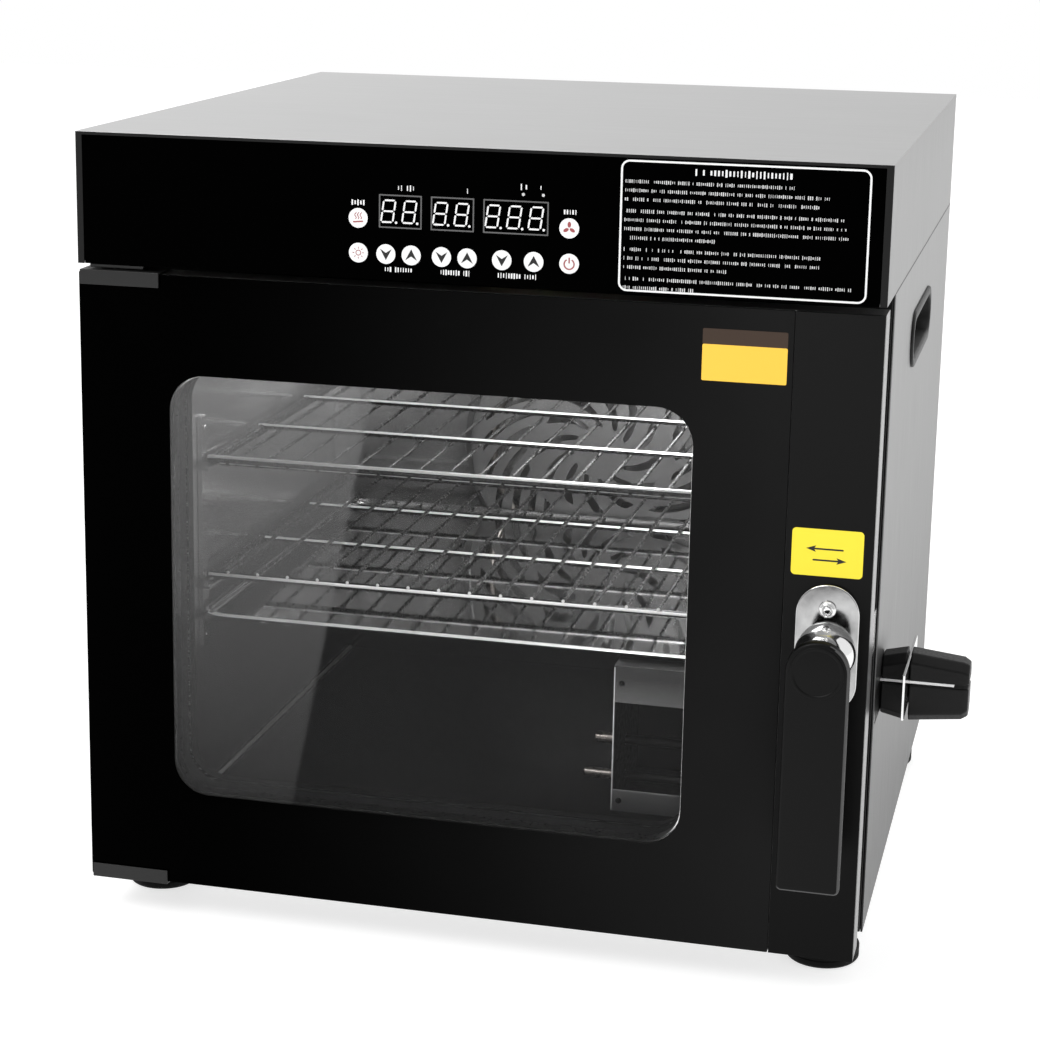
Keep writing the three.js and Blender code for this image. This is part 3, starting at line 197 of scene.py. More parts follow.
# A lighter plastic for the lever's lower and right edges: a painted highlight
leverEdgeHighlight = finish("leverEdgePlastic", 80, 68, 0.40, 0.06, 0.0, 900, 0.15, specular=0.2)
cupPlastic = finish("cupPlastic", 36, 26, 0.45, 0.06, 0.0, 900, 0.3, 60.0, specular=0.25)
gripPlastic = finish("gripPlastic", 24, 18, 0.42, 0.08, 0.0, 700, 0.25, specular=0.2)
footRubber = finish("footRubber", 11, 14, 0.6, 0.1, 0.0, 500, 0.3, specular=0.12)
sealRubber = finish("sealRubber", 24, 18, 0.6, 0.1, 0.0, 500, 0.3, specular=0.2)
hingeZinc = finish("hingeZinc", 48, 42, 0.42, 0.08, 0.4, 500, 0.15, specular=0.3)
bracketSteel = finish("bracketSteel", 72, 60, 0.38, 0.08, 0.8, 500, 0.05, grain=brushedAlong["x"])
heaterSheath = finish("heaterSheath", (150, 146, 142), (118, 112, 108), 0.3, 0.08, 0.9, 300, 0.2, 60.0)
fanAlloy = finish("fanAlloy", 168, 150, 0.34, 0.08, 0.9, 400, 0.05)
motorPaint = finish("motorPaint", (92, 95, 99), (74, 77, 80), 0.45, 0.1, 0.5, 300, 0.2)
lampCeramic = finish("lampCeramic", (226, 220, 208), (214, 206, 190), 0.5, 0.1, 0.0, 300, 0.2)
mineralWool = finish("mineralWool", (214, 205, 182), (178, 166, 140), 0.9, 0.05, 0.0,
                     260, 1.0, 90.0, grain=(1, 1, 0.3))
boardGreen = finish("boardLaminate", (26, 92, 52), (14, 62, 36), 0.4, 0.1, 0.0, 260, 0.2, 300.0)
displayCase = finish("displayCase", 40, 52, 0.3, 0.05, 0.0, 300, 0.1)
whitePrint = finish("whitePrint", 236, 228, 0.5, 0.04, 0.0, 500, 0.05)
markPrint = finish("markPrint", 206, 190, 0.5, 0.04, 0.0, 500, 0.05)
greyPrint = finish("greyPrint", 92, 78, 0.4, 0.04, 0.0, 500, 0.05)
blackPrint = finish("blackPrint", 12, 16, 0.5, 0.04, 0.0, 500, 0.05)
redPrint = finish("redPrint", (158, 82, 84), (142, 66, 68), 0.5, 0.04, 0.0, 500, 0.05)
amberFilm = finish("amberFilm", (252, 202, 82), (246, 192, 70), 0.35, 0.05, 0.0, 400, 0.05, specular=0.2)
darkFilm = finish("darkFilm", (60, 49, 42), (68, 55, 46), 0.35, 0.05, 0.0, 400, 0.05, specular=0.2)
yellowFilm = finish("yellowFilm", (248, 228, 70), (242, 218, 58), 0.35, 0.05, 0.0, 400, 0.05, specular=0.2)
clearPane = finish("clearPane", 120, 128, 0.03, 0.01, 0.0, 40, specular=0.1)
innerPane = finish("innerPane", 62, 54, 0.03, 0.01, 0.0, 40, Alpha=0.06, specular=0.1)
lampGlass = finish("lampGlass", (232, 232, 226), (222, 222, 214), 0.15, 0.04, 0.0, 200, 0.05)


# Painted light and shade: a finish whose colour is multiplied by a factor that goes from one end of an axis
# to the other, so that one end reads lit and the other shaded
def paintLightAndShadeAlong(material, axis, start, end, first, last, bend=1.0):
    tree = material.node_tree
    shader = tree.nodes["Principled BSDF"]
    parts = addNode(tree, "ShaderNodeSeparateXYZ", {
        "Vector": addNode(tree, "ShaderNodeTexCoord").outputs["Object"]})
    ends = [at(place, place, place)["XYZ".index(axis)] for place in (start, end)]
    bent = reckon(tree, "POWER", mapRange(tree, parts.outputs[axis], *ends), bend)
    ramp = addNode(tree, "ShaderNodeMix", {0: bent, 6: (first,) * 3 + (1,), 7: (last,) * 3 + (1,)},
                   data_type="RGBA")
    under = shader.inputs["Base Color"].links[0].from_socket
    both = addNode(tree, "ShaderNodeMix", {0: 1.0, 6: under, 7: ramp.outputs[2]}, data_type="RGBA",
                   blend_type="MULTIPLY")
    tree.links.new(both.outputs[2], shader.inputs["Base Color"])


# Painted light and shade, given as axis, the two ends in millimetres, the colour's factor at each, and for
# the door's black a bend
# Painted sheen on the door's black, lighter towards the right
paintLightAndShadeAlong(doorPrint, "X", 60, 420, 0.02, 14.0, 1.8)
# Painted shade in the chamber: its floor dark, its upper walls light
paintLightAndShadeAlong(linerSteel, "Z", 40, 330, 0.09, 2.0)
# Painted light on the chamber's back wall, lighter towards the back
paintLightAndShadeAlong(linerSteel, "Y", 150, 400, 1.0, 1.35)
# Painted light on the chip housing: its lower flange lighter than its top
paintLightAndShadeAlong(housingSteel, "Z", 66, 146, 6.5, 0.8)
# Painted shade on the top sheets, darker towards the right
paintLightAndShadeAlong(satinTop, "X", 0, 480, 0.94, 0.70)
# Painted shade on the side and back sheets, near black at the bottom
paintLightAndShadeAlong(satinSide, "Z", 0, 440, 0.04, 0.49)
# Painted shade on the stile, darker towards the bottom
paintLightAndShadeAlong(stilePaint, "Z", 0, 380, 0.12, 1.35)


# The pane is clear at the right. A thin painted reflection lies over its left part as a lighter veil, with a
# leaning edge, and fades downwards.
paintedReflection = {"edgeLow": 133.0, "edgeHigh": 184.0, "low": 64.0, "high": 329.0, "soft": 1.5, "clear": 0.022,
        "thick": 0.22, "fade": 0.15}


def paintReflectionOver(material):
    tree = material.node_tree
    place = addNode(tree, "ShaderNodeTexCoord").outputs["Object"]
    parts = addNode(tree, "ShaderNodeSeparateXYZ", {"Vector": place}).outputs
    low, high = at(paintedReflection["edgeLow"], 0, paintedReflection["low"]), at(paintedReflection["edgeHigh"], 0, paintedReflection["high"])
    leaning = mapRange(tree, parts["Z"], low.z, high.z, low.x, high.x)
    beyond = reckon(tree, "SUBTRACT", parts["X"], leaning)
    left = mapRange(tree, beyond, -paintedReflection["soft"] * mm, paintedReflection["soft"] * mm, paintedReflection["thick"], 0.0)
    fade = mapRange(tree, parts["Z"], low.z, high.z, paintedReflection["fade"], 1.0)
    paintedReflectionAlpha = reckon(tree, "MULTIPLY_ADD", left, fade, paintedReflection["clear"])
    tree.links.new(paintedReflectionAlpha.outputs[0], tree.nodes["Principled BSDF"].inputs["Alpha"])


paintReflectionOver(clearPane)
print("finishes made:", len(bpy.data.materials))


# Making pieces
def linkPiece(name, mesh, material):
    piece = bpy.data.objects.new(name, mesh)
    bpy.context.scene.collection.objects.link(piece)
    mesh.materials.clear()
    mesh.materials.append(material)
    return piece


def fromBmesh(work, name):
    mesh = bpy.data.meshes.new(name)
    work.to_mesh(mesh)
    work.free()
    return mesh


def settle(piece, body, slotName, *nodes):
    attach(piece, body)
    if nodes:
        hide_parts(*nodes)
    return piece


def plainMesh(piece):
    bpy.context.view_layer.update()
    graph = bpy.context.evaluated_depsgraph_get()
    mesh = bpy.data.meshes.new_from_object(piece.evaluated_get(graph), preserve_all_data_layers=True,
                                           depsgraph=graph)
    piece.modifiers.clear()
    piece.data = mesh
    return mesh


def closeUp(mesh):
    work = bmesh.new()
    work.from_mesh(mesh)
    bmesh.ops.remove_doubles(work, verts=work.verts, dist=weld)
    bmesh.ops.recalc_face_normals(work, faces=work.faces)
    work.to_mesh(mesh)
    work.free()
    return mesh


def easeEdges(piece, width, steps=2, angle=32):
    bevel = piece.modifiers.new("easedEdges", "BEVEL")
    bevel.width = width * mm
    bevel.segments = steps
    bevel.limit_method = "ANGLE"
    bevel.angle_limit = math.radians(angle)
    piece.data.shade_smooth()
    flat = piece.modifiers.new("flatFaces", "WEIGHTED_NORMAL")
    flat.mode = "FACE_AREA"
    flat.weight = 100
    plainMesh(piece)
    return piece


# A CAD node with its sheet edges eased: a copy is merged and bevelled, and the node is left alone.
# Faces within any of the boxes take the lining, and others that look sideways their own material.
def eased(node, material, slotName, width, steps=2, boxes=(), lining=None, sideways=None):
    source = frame["nodes"][node]
    work = bmesh.new()
    work.from_mesh(source.data)
    bmesh.ops.remove_doubles(work, verts=work.verts, dist=weld)
    bmesh.ops.dissolve_limit(work, angle_limit=math.radians(0.5), verts=work.verts, edges=work.edges)
    places = [(at(*low), at(*high)) for low, high in boxes]
    for place in places:
        for cut in place:
            geometry = work.verts[:] + work.edges[:] + work.faces[:]
            bmesh.ops.bisect_plane(work, geom=geometry, plane_co=cut, plane_no=(0, 1, 0))
    piece = linkPiece(node + "_eased", fromBmesh(work, node), material)
    for other in (lining, sideways):
        if other:
            piece.data.materials.append(other)
    easeEdges(piece, width, steps)
    for polygon in piece.data.polygons:
        middle = polygon.center
        if any(all(low[axis] < middle[axis] < high[axis] for axis in range(3)) for low, high in places):
            polygon.material_index = 1
        elif sideways and abs(polygon.normal.x) > 0.9:
            polygon.material_index = 2
    return settle(piece, source["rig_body"], slotName, node)


# A second finish on the faces that a test picks
def paintFaces(piece, material, chosen):
    piece.data.materials.append(material)
    for polygon in piece.data.polygons:
        polygon.material_index = int(chosen(polygon))


def coat(node, material):
    source = frame["nodes"][node]
    source.data.materials.clear()
    source.data.materials.append(material)


# Outlines, as lists of points on a plane
def arcPoints(x, z, radius, start, end, steps):
    turns = [math.radians(start + (end - start) * step / steps) for step in range(steps + 1)]
    return [(x + radius * math.cos(turn), z + radius * math.sin(turn)) for turn in turns]


def roundedBox(left, right, low, high, radius, steps=8):
    corners = [(right - radius, low + radius, -90), (right - radius, high - radius, 0),
               (left + radius, high - radius, 90), (left + radius, low + radius, 180)]
    return [point for x, z, start in corners for point in arcPoints(x, z, radius, start, start + 90, steps)]


def ringPoints(x, z, radius, steps=32):
    return arcPoints(x, z, radius, 0, 360 * (steps - 1) / steps, steps - 1)


# A line of some width, as an outline
def strokeOutline(points, width):
    sides = ([], [])
    for index, (x, z) in enumerate(points):
        before = Vector(points[max(index - 1, 0)])
        after = Vector(points[min(index + 1, len(points) - 1)])
        along = (after - before).normalized()
        for side, sign in zip(sides, (1, -1)):
            side.append((x - sign * along.y * width / 2, z + sign * along.x * width / 2))
    return sides[0] + sides[1][::-1]


planes = {
    "xz": Matrix(((1, 0, 0), (0, 0, -1), (0, 1, 0))),
    "yz": Matrix(((0, 0, 1), (1, 0, 0), (0, 1, 0))),
    "xy": Matrix(((1, 0, 0), (0, 1, 0), (0, 0, 1))),
}


# The mesh of a curve made of runs of points
def meshFromCurve(curve, runs, closed):
    for run in runs:
        spline = curve.splines.new("POLY")
        spline.points.add(len(run) - 1)
        for point, place in zip(spline.points, run):
            point.co = (*place, 1)
        spline.use_cyclic_u = closed
    holder = bpy.data.objects.new(curve.name, curve)
    bpy.context.scene.collection.objects.link(holder)
    bpy.context.view_layer.update()
    mesh = bpy.data.meshes.new_from_object(holder.evaluated_get(bpy.context.evaluated_depsgraph_get()))
    bpy.data.objects.remove(holder)
    bpy.data.curves.remove(curve)
    return mesh


# Outlines filled and given a thickness between two depths; edge eases the rim within the outline
def plate(name, loops, plane, near, far, material, edge=0.0, bevelSteps=1):
    curve = bpy.data.curves.new(name, "CURVE")
    curve.dimensions = "2D"
    curve.fill_mode = "BOTH"
    curve.extrude = (abs(far - near) / 2 - edge) * mm
    curve.bevel_depth = edge * mm
    curve.bevel_resolution = bevelSteps
    curve.offset = -edge * mm
    mesh = meshFromCurve(curve, [[(a * mm, b * mm, 0) for a, b in loop] for loop in loops], True)
    middle = (near + far) / 2 * mm
    depth = {"xz": (0, middle, 0), "yz": (middle, 0, 0), "xy": (0, 0, middle)}[plane]
    mesh.transform(Matrix.Translation(origin + Vector(depth)) @ planes[plane].to_4x4())
    closeUp(mesh)
    mesh.set_sharp_from_angle(angle=math.radians(50))
    return linkPiece(name, mesh, material)


# Rings of equal count joined in order; closed ends are filled, a closed run joins its last ring to its first
def joinRings(name, rings, material, endless=False, sharp=40):
    work = bmesh.new()
    rows = [[work.verts.new(point) for point in ring] for ring in rings]
    pairs = list(zip(rows, rows[1:])) + ([(rows[-1], rows[0])] if endless else [])
    for low, high in pairs:
        for index in range(len(low)):
            follow = (index + 1) % len(low)
            work.faces.new((low[index], low[follow], high[follow], high[index]))
    if not endless:
        work.faces.new(rows[0][::-1])
        work.faces.new(rows[-1])
    bmesh.ops.remove_doubles(work, verts=work.verts, dist=weld / 2)
    bmesh.ops.recalc_face_normals(work, faces=work.faces)
    mesh = fromBmesh(work, name)
    mesh.shade_smooth()
    mesh.set_sharp_from_angle(angle=math.radians(sharp))
    return linkPiece(name, mesh, material)


# Corners of a profile turned into short arcs
def easedProfile(profile, radius, steps=3, endless=False):
    points = [Vector(point) for point in profile]
    soft = [] if endless else [points[0]]
    count = len(points)
    for index in range(0 if endless else 1, count if endless else count - 1):
        corner = points[index]
        before = points[index - 1] - corner
        after = points[(index + 1) % count] - corner
        cut = min(radius, before.length * 0.45, after.length * 0.45)
        start = corner + before.normalized() * cut
        end = corner + after.normalized() * cut
        for step in range(steps + 1):
            share = step / steps
            soft.append(start.lerp(corner, share).lerp(corner.lerp(end, share), share))
    if not endless:
        soft.append(points[-1])
    return [tuple(point) for point in soft]


# A turned piece; the profile holds radius and height pairs along an axis
def turned(name, profile, axis, centre, material, segments=48, endless=False, sharp=40):
    rings = []
    for radius, height in profile:
        ring = []
        for step in range(segments):
            turn = 2 * math.pi * step / segments
            across, up = max(radius, 0.001) * math.cos(turn), max(radius, 0.001) * math.sin(turn)
            offset = {"x": (height, across, up), "y": (across, height, up), "z": (across, up, height)}[axis]
            ring.append(at(*(Vector(centre) + Vector(offset))))
        rings.append(ring)
    return joinRings(name, rings, material, endless, sharp)


# Geometry Nodes
def newTree(name, sockets):
    tree = bpy.data.node_groups.new(name, "GeometryNodeTree")
    tree.interface.new_socket("Geometry", in_out="OUTPUT", socket_type="NodeSocketGeometry")
    tree.interface.new_socket("Geometry", in_out="INPUT", socket_type="NodeSocketGeometry")
    for label, kind in sockets:
        tree.interface.new_socket(label, in_out="INPUT", socket_type="NodeSocket" + kind)
    return tree, addNode(tree, "NodeGroupInput").outputs


def endTree(tree, geometry, material):
    real = addNode(tree, "GeometryNodeRealizeInstances", {"Geometry": geometry})
    painted = addNode(tree, "GeometryNodeSetMaterial", {"Geometry": real, "Material": material})
    addNode(tree, "NodeGroupOutput", {"Geometry": painted})


def addTree(piece, tree, values):
    modifier = piece.modifiers.new(tree.name, "NODES")
    modifier.node_group = tree
    for item in tree.interface.items_tree:
        if item.in_out == "INPUT" and item.name in values:
            modifier[item.identifier] = values[item.name]


def joined(tree, *parts):
    both = addNode(tree, "GeometryNodeJoinGeometry")
    for part in parts:
        tree.links.new(part.outputs[0] if isinstance(part, bpy.types.Node) else part, both.inputs[0])
    return both


def anyBetween(tree, least, most, seed):
    return addNode(tree, "FunctionNodeRandomValue", {2: least, 3: most, "Seed": seed},
                   data_type="FLOAT").outputs[1]


# A row of round bars: copies of one bar on a straight line
def barRowTree():
    tree, given = newTree("barRow", [
        ("Count", "Int"), ("From", "Vector"), ("To", "Vector"), ("Length", "Float"), ("Radius", "Float"),
        ("Turn", "Vector"), ("Sides", "Int"), ("Material", "Material")])
    step = addNode(tree, "GeometryNodeMeshLine", {
        "Count": given["Count"], "Start Location": given["From"], "Offset": given["To"]}, mode="END_POINTS")
    bar = addNode(tree, "GeometryNodeMeshCylinder", {
        "Vertices": given["Sides"], "Radius": given["Radius"], "Depth": given["Length"]})
    shaded = addNode(tree, "GeometryNodeSetShadeSmooth", {"Geometry": bar})
    turnedBar = addNode(tree, "GeometryNodeTransform", {"Geometry": shaded, "Rotation": given["Turn"]})
    row = addNode(tree, "GeometryNodeInstanceOnPoints", {"Points": step, "Instance": turnedBar})
    endTree(tree, joined(tree, given["Geometry"], row), given["Material"])
    return tree


# Copies of one head on points, each turned by a random amount about its own axis
def headsTree():
    tree, given = newTree("headsOnPoints", [
        ("Head", "Object"), ("Turn", "Vector"), ("Seed", "Int"), ("Material", "Material")])
    head = addNode(tree, "GeometryNodeObjectInfo", {"Object": given["Head"]})
    row = addNode(tree, "GeometryNodeInstanceOnPoints", {
        "Points": given["Geometry"], "Instance": head.outputs["Geometry"], "Rotation": given["Turn"]})
    axis = addNode(tree, "ShaderNodeCombineXYZ", {"Z": anyBetween(tree, 0.0, math.pi, given["Seed"])})
    spun = addNode(tree, "GeometryNodeRotateInstances", {
        "Instances": row, "Rotation": axis, "Local Space": True})
    endTree(tree, spun, given["Material"])
    return tree


# Small marks along each line, some left out; their widths are shares of the pitch, their heights of the row
markShape = {"narrow": 0.22, "wide": 0.66, "short": 0.55, "full": 1.0}


def marksTree():
    tree, given = newTree("marksOnLines", [
        ("Pitch", "Float"), ("Tall", "Float"), ("Thick", "Float"), ("Kept", "Float"), ("Seed", "Int"),
        ("Material", "Material")])
    lines = addNode(tree, "GeometryNodeMeshToCurve", {"Mesh": given["Geometry"]})
    points = addNode(tree, "GeometryNodeResampleCurve", {"Curve": lines, "Length": given["Pitch"]},
                     mode="LENGTH")
    seeds = [given["Seed"], reckon(tree, "ADD", given["Seed"], 1.0), reckon(tree, "ADD", given["Seed"], 2.0)]
    wide = anyBetween(tree, markShape["narrow"], markShape["wide"], seeds[0])
    high = anyBetween(tree, markShape["short"], markShape["full"], seeds[1])
    size = addNode(tree, "ShaderNodeCombineXYZ", {
        "X": reckon(tree, "MULTIPLY", wide, given["Pitch"]), "Y": given["Thick"],
        "Z": reckon(tree, "MULTIPLY", high, given["Tall"])})
    kept = addNode(tree, "FunctionNodeRandomValue", {"Probability": given["Kept"], "Seed": seeds[2]},
                   data_type="BOOLEAN")
    row = addNode(tree, "GeometryNodeInstanceOnPoints", {
        "Points": points, "Selection": kept.outputs[3], "Instance": addNode(tree, "GeometryNodeMeshCube"),
        "Scale": size})
    endTree(tree, row, given["Material"])
    return tree


# A round plate with two rings of curved slots; the slot outlines come as two curves
def slottedDiscTree():
    tree, given = newTree("slottedDisc", [
        ("Radius", "Float"), ("Sheet", "Float"), ("Outer slot", "Object"), ("Outer count", "Int"),
        ("Inner slot", "Object"), ("Inner count", "Int"), ("Place", "Vector"), ("Material", "Material")])
    outlines = [addNode(tree, "GeometryNodeCurvePrimitiveCircle", {
        "Resolution": 96, "Radius": given["Radius"]})]
    for ring in ("Outer", "Inner"):
        slotShape = addNode(tree, "GeometryNodeObjectInfo", {"Object": given[ring + " slot"]})
        loop = addNode(tree, "GeometryNodeMeshToCurve", {"Mesh": slotShape.outputs["Geometry"]})
        count = given[ring + " count"]
        seats = addNode(tree, "GeometryNodeMeshLine", {"Count": count, "Offset": (0, 0, 0)})
        share = reckon(tree, "DIVIDE", addNode(tree, "GeometryNodeInputIndex"), count)
        spin = addNode(tree, "ShaderNodeCombineXYZ", {"Z": reckon(tree, "MULTIPLY", share, 2 * math.pi)})
        outlines.append(addNode(tree, "GeometryNodeInstanceOnPoints", {
            "Points": seats, "Instance": loop, "Rotation": spin}))
    real = addNode(tree, "GeometryNodeRealizeInstances", {"Geometry": joined(tree, *outlines)})
    face = addNode(tree, "GeometryNodeFillCurve", {"Curve": real})
    raised = addNode(tree, "GeometryNodeExtrudeMesh", {
        "Mesh": face, "Offset Scale": given["Sheet"], "Individual": False})
    under = addNode(tree, "GeometryNodeFlipFaces", {"Mesh": face})
    merged = addNode(tree, "GeometryNodeMergeByDistance", {
        "Geometry": joined(tree, raised, under), "Distance": weld})
    upright = addNode(tree, "GeometryNodeTransform", {
        "Geometry": merged, "Translation": given["Place"], "Rotation": (quarter, 0, 0)})
    endTree(tree, upright, given["Material"])
    return tree


trees = {"bars": barRowTree(), "heads": headsTree(), "marks": marksTree(), "disc": slottedDiscTree()}
print("node trees made:", len(trees))


def emptyPiece(name, points=(), edges=()):
    mesh = bpy.data.meshes.new(name)
    mesh.from_pydata([tuple(point) for point in points], edges, [])
    piece = bpy.data.objects.new(name, mesh)
    bpy.context.scene.collection.objects.link(piece)
    return piece


def finishGrown(piece, material):
    mesh = plainMesh(piece)
    mesh.materials.clear()
    mesh.materials.append(material)
    return piece


# A tube of some radius along points
def tubeAlong(name, points, radius, material, sides=12):
    curve = bpy.data.curves.new(name, "CURVE")
    curve.dimensions = "3D"
    curve.bevel_depth = radius * mm
    curve.bevel_resolution = sides // 4
    curve.use_fill_caps = True
    mesh = meshFromCurve(curve, [[at(*point) for point in points]], False)
    closeUp(mesh)
    mesh.shade_smooth()
    mesh.set_sharp_from_angle(angle=math.radians(50))
    return linkPiece(name, mesh, material)


# Head and cabinet sheets
sheets = {"edge": 0.45, "glassEdge": 0.3, "fine": 0.25, "rim": 1.4, "rimDrop": 0.3, "lip": 4.7,
          "lipWall": 0.8, "past": 1.0}
joint = {"start": 54.2, "backGap": 0.3, "low": 392.6, "high": 393.6, "proud": 0.1}
coverLow, coverHigh = span("head_cover")
past, lipWall = sheets["past"], sheets["lipWall"]
rimBoxes = [((coverLow.x - past, coverLow.y - past, coverLow.z - past),
             (coverHigh.x + past, coverLow.y + sheets["rim"], coverHigh.z - sheets["rimDrop"])),
            ((coverLow.x + lipWall, coverLow.y - past, coverLow.z - past),
             (coverHigh.x - lipWall, coverLow.y + sheets["lip"], coverHigh.z - lipWall))]
eased("head_cover", satinTop, "satin_steel", sheets["edge"], 3, rimBoxes, rimBlack, satinSide)
eased("control_glass", blackGlass, "black_glass", sheets["glassEdge"])
for side in ("left", "right"):
    eased("side_panel_" + side, satinSide, "satin_steel", sheets["edge"], 3)
eased("back_panel", satinSide, "satin_steel", sheets["edge"])
eased("base_panel", satinTop, "satin_steel", sheets["edge"])
# The mouth's dark steel is painted shade in the gap beside the door
eased("front_frame", shadedFrameSteel, "inner_steel", sheets["edge"])
eased("strike_plate", partSteel, "bright_steel", sheets["edge"])
for side in ("left", "right"):
    eased("shelf_rails_" + side, linerSteel, "inner_steel", sheets["fine"])
housingLow, housingHigh = span("chip_housing")
# The chip housing's inner faces take the dark steel as painted shade in its hollow
eased("chip_housing", housingSteel, "inner_steel", sheets["fine"], 2,
      [((housingLow.x + 1, housingLow.y + 1, housingLow.z + 1),
        (housingHigh.x, housingHigh.y - 1, housingHigh.z - 1))], sootedSteel)
# A bright hem along the housing's left edge: a painted highlight line
settle(tubeAlong("housing_hem", ((housingLow.x + 0.5, housingLow.y + 0.4, housingLow.z + 1),
                                 (housingLow.x + 0.5, housingLow.y + 0.4, housingHigh.z - 1)), 0.5, rodSteel),
       "cabinet", "inner_steel")
coats = {"head_floor": satinTop, "front_plate": rimBlack, "chamber_liner": linerSteel,
         "insulation": mineralWool, "control_board": boardGreen, "power_board": boardGreen,
         "touch_springs": fanAlloy, "display_ignition_time": displayCase, "display_heat_time": displayCase,
         "display_temperature": displayCase, "fan_motor": motorPaint}
for node, material in coats.items():
    coat(node, material)
# Thin dark strips along the joint between head and cabinet on each side: a painted shadow of the gap between
# the sheets
jointFront, jointBack = coverLow.y + joint["start"], coverHigh.y - joint["backGap"]
jointLoop = [(jointFront, joint["low"]), (jointBack, joint["low"]), (jointBack, joint["high"]),
             (jointFront, joint["high"])]
for side, x in (("left", coverLow.x), ("right", coverHigh.x)):
    strip = plate("head_joint_" + side, [jointLoop], "yz", x - joint["proud"], x + joint["proud"], rimBlack)
    settle(strip, "cabinet", "satin_steel")
print("sheets eased")

# Door
door = {"printEdge": 0.3, "outline": 0.9, "line": 0.7, "proud": 0.28, "paneGap": 0.05, "paneSunk": 0.3,
        "trimGap": 0.02, "trimWall": 0.6, "frameEdge": 0.35, "sealEdge": 1.6, "leafEdge": 0.35,
        "bracketEdge": 0.3}
view = {"left": 57.0, "right": 374.5, "low": 64.0, "high": 329.0, "radius": 22.0}
glassLow, glassHigh = span("door_glass")


def viewLoop(grow=0.0, steps=10):
    return roundedBox(view["left"] - grow, view["right"] + grow, view["low"] - grow, view["high"] + grow,
                      view["radius"] + grow, steps)


outer = roundedBox(glassLow.x, glassHigh.x, glassLow.z, glassHigh.z, 0.8, 3)
doorFace = plate("door_glass_print", [outer, viewLoop()[::-1]], "xz", glassLow.y, glassHigh.y, doorPrint,
                 door["printEdge"])
settle(doorFace, "door", "door_glass", "door_glass")
pane = plate("door_glass_pane", [viewLoop(-door["paneGap"])], "xz", glassLow.y + door["paneSunk"],
             glassHigh.y - door["paneSunk"], clearPane)
settle(pane, "door", "clear_glass", "door_glass")
outline = plate("window_outline", [viewLoop(door["outline"]), viewLoop(-door["line"])[::-1]], "xz",
                glassHigh.y, glassHigh.y + door["proud"], chrome)
settle(outline, "door", "bright_steel")
trims = {"window_reveal": (4.6, 13.5, revealSteel, "bright_steel"),
         "window_gasket": (13.55, 24.2, sealRubber, "seal_rubber"),
         "inner_window_gasket": (28.4, 36.0, sealRubber, "seal_rubber")}
for name, (near, far, material, slotName) in trims.items():
    trim = plate(name, [viewLoop(-door["trimGap"]), viewLoop(-door["trimWall"])[::-1]], "xz", near, far,
                 material)
    settle(trim, "door", slotName)
eased("door_stile", stilePaint, "black_stile", door["frameEdge"])
eased("door_frame", doorSteel, "satin_steel", door["frameEdge"])
eased("door_inner_panel", partSteel, "inner_steel", door["frameEdge"])
coat("door_glass_inner", innerPane)
eased("door_seal", sealRubber, "seal_rubber", door["sealEdge"], 3)
for end in ("top", "bottom"):
    eased("hinge_leaf_" + end, hingeZinc, "grey_zinc", door["leafEdge"])
    eased("hinge_bracket_" + end, bracketSteel, "grey_zinc", door["bracketEdge"])
print("door made")

# Latch
latch = {"plateEdge": 0.8, "collarEase": 2.2, "leverEdgeHighlight": 2.0, "leverCorner": 3.2, "capGroove": 0.5,
         "blade": 8.0, "shoulder": 11.0, "shoulderSeat": 8.2, "shoulderIn": 0.7}
baseLow, baseHigh = span("latch_base")
latchX = (baseLow.x + baseHigh.x) / 2
leverLow, leverHigh = span("latch_lever")
leverRadius = (leverHigh.x - leverLow.x) / 2
latchZ = leverHigh.z - leverRadius
basePlate = plate("latch_plate", [roundedBox(baseLow.x, baseHigh.x, baseLow.z, baseHigh.z,
                                             (baseHigh.x - baseLow.x) / 2 - 0.5, 16)],
                  "xz", baseLow.y, baseHigh.y, plateChrome, latch["plateEdge"], 2)
# The plate's rim faces take the plain polished steel, a painted highlight lighter than the mottled face
paintFaces(basePlate, chrome, lambda polygon: polygon.normal.y > -0.95)
settle(basePlate, "door", "bright_steel", "latch_base")
collarLow, collarHigh = span("latch_collar")
collarLength = collarHigh.y - collarLow.y
collarProfile = [(7.4, 0), (17.5, 0), (17.5, -0.12 * collarLength), (16.6, -0.32 * collarLength),
                 (13.5, -0.62 * collarLength), (12.0, -collarLength), (7.4, -collarLength)]
collar = turned("latch_boss", easedProfile(collarProfile, latch["collarEase"], 4, True), "y",
                (latchX, collarHigh.y, latchZ), chrome, 64, True)
settle(collar, "door", "bright_steel", "latch_collar")


def leverOutline(inset):
    half = leverRadius - inset
    low = leverLow.z + inset
    corner = latch["leverCorner"]
    points = arcPoints(latchX, latchZ, half, 0, 180, 32)
    points += arcPoints(latchX - half + corner, low + corner, corner, 180, 270, 6)
    points += arcPoints(latchX + half - corner, low + corner, corner, 270, 360, 6)
    return points


front = leverLow.y
blade = plate("latch_handle", [leverOutline(0)], "xz", front + latch["capGroove"], front + latch["blade"],
              handlePlastic, latch["leverEdgeHighlight"], 3)
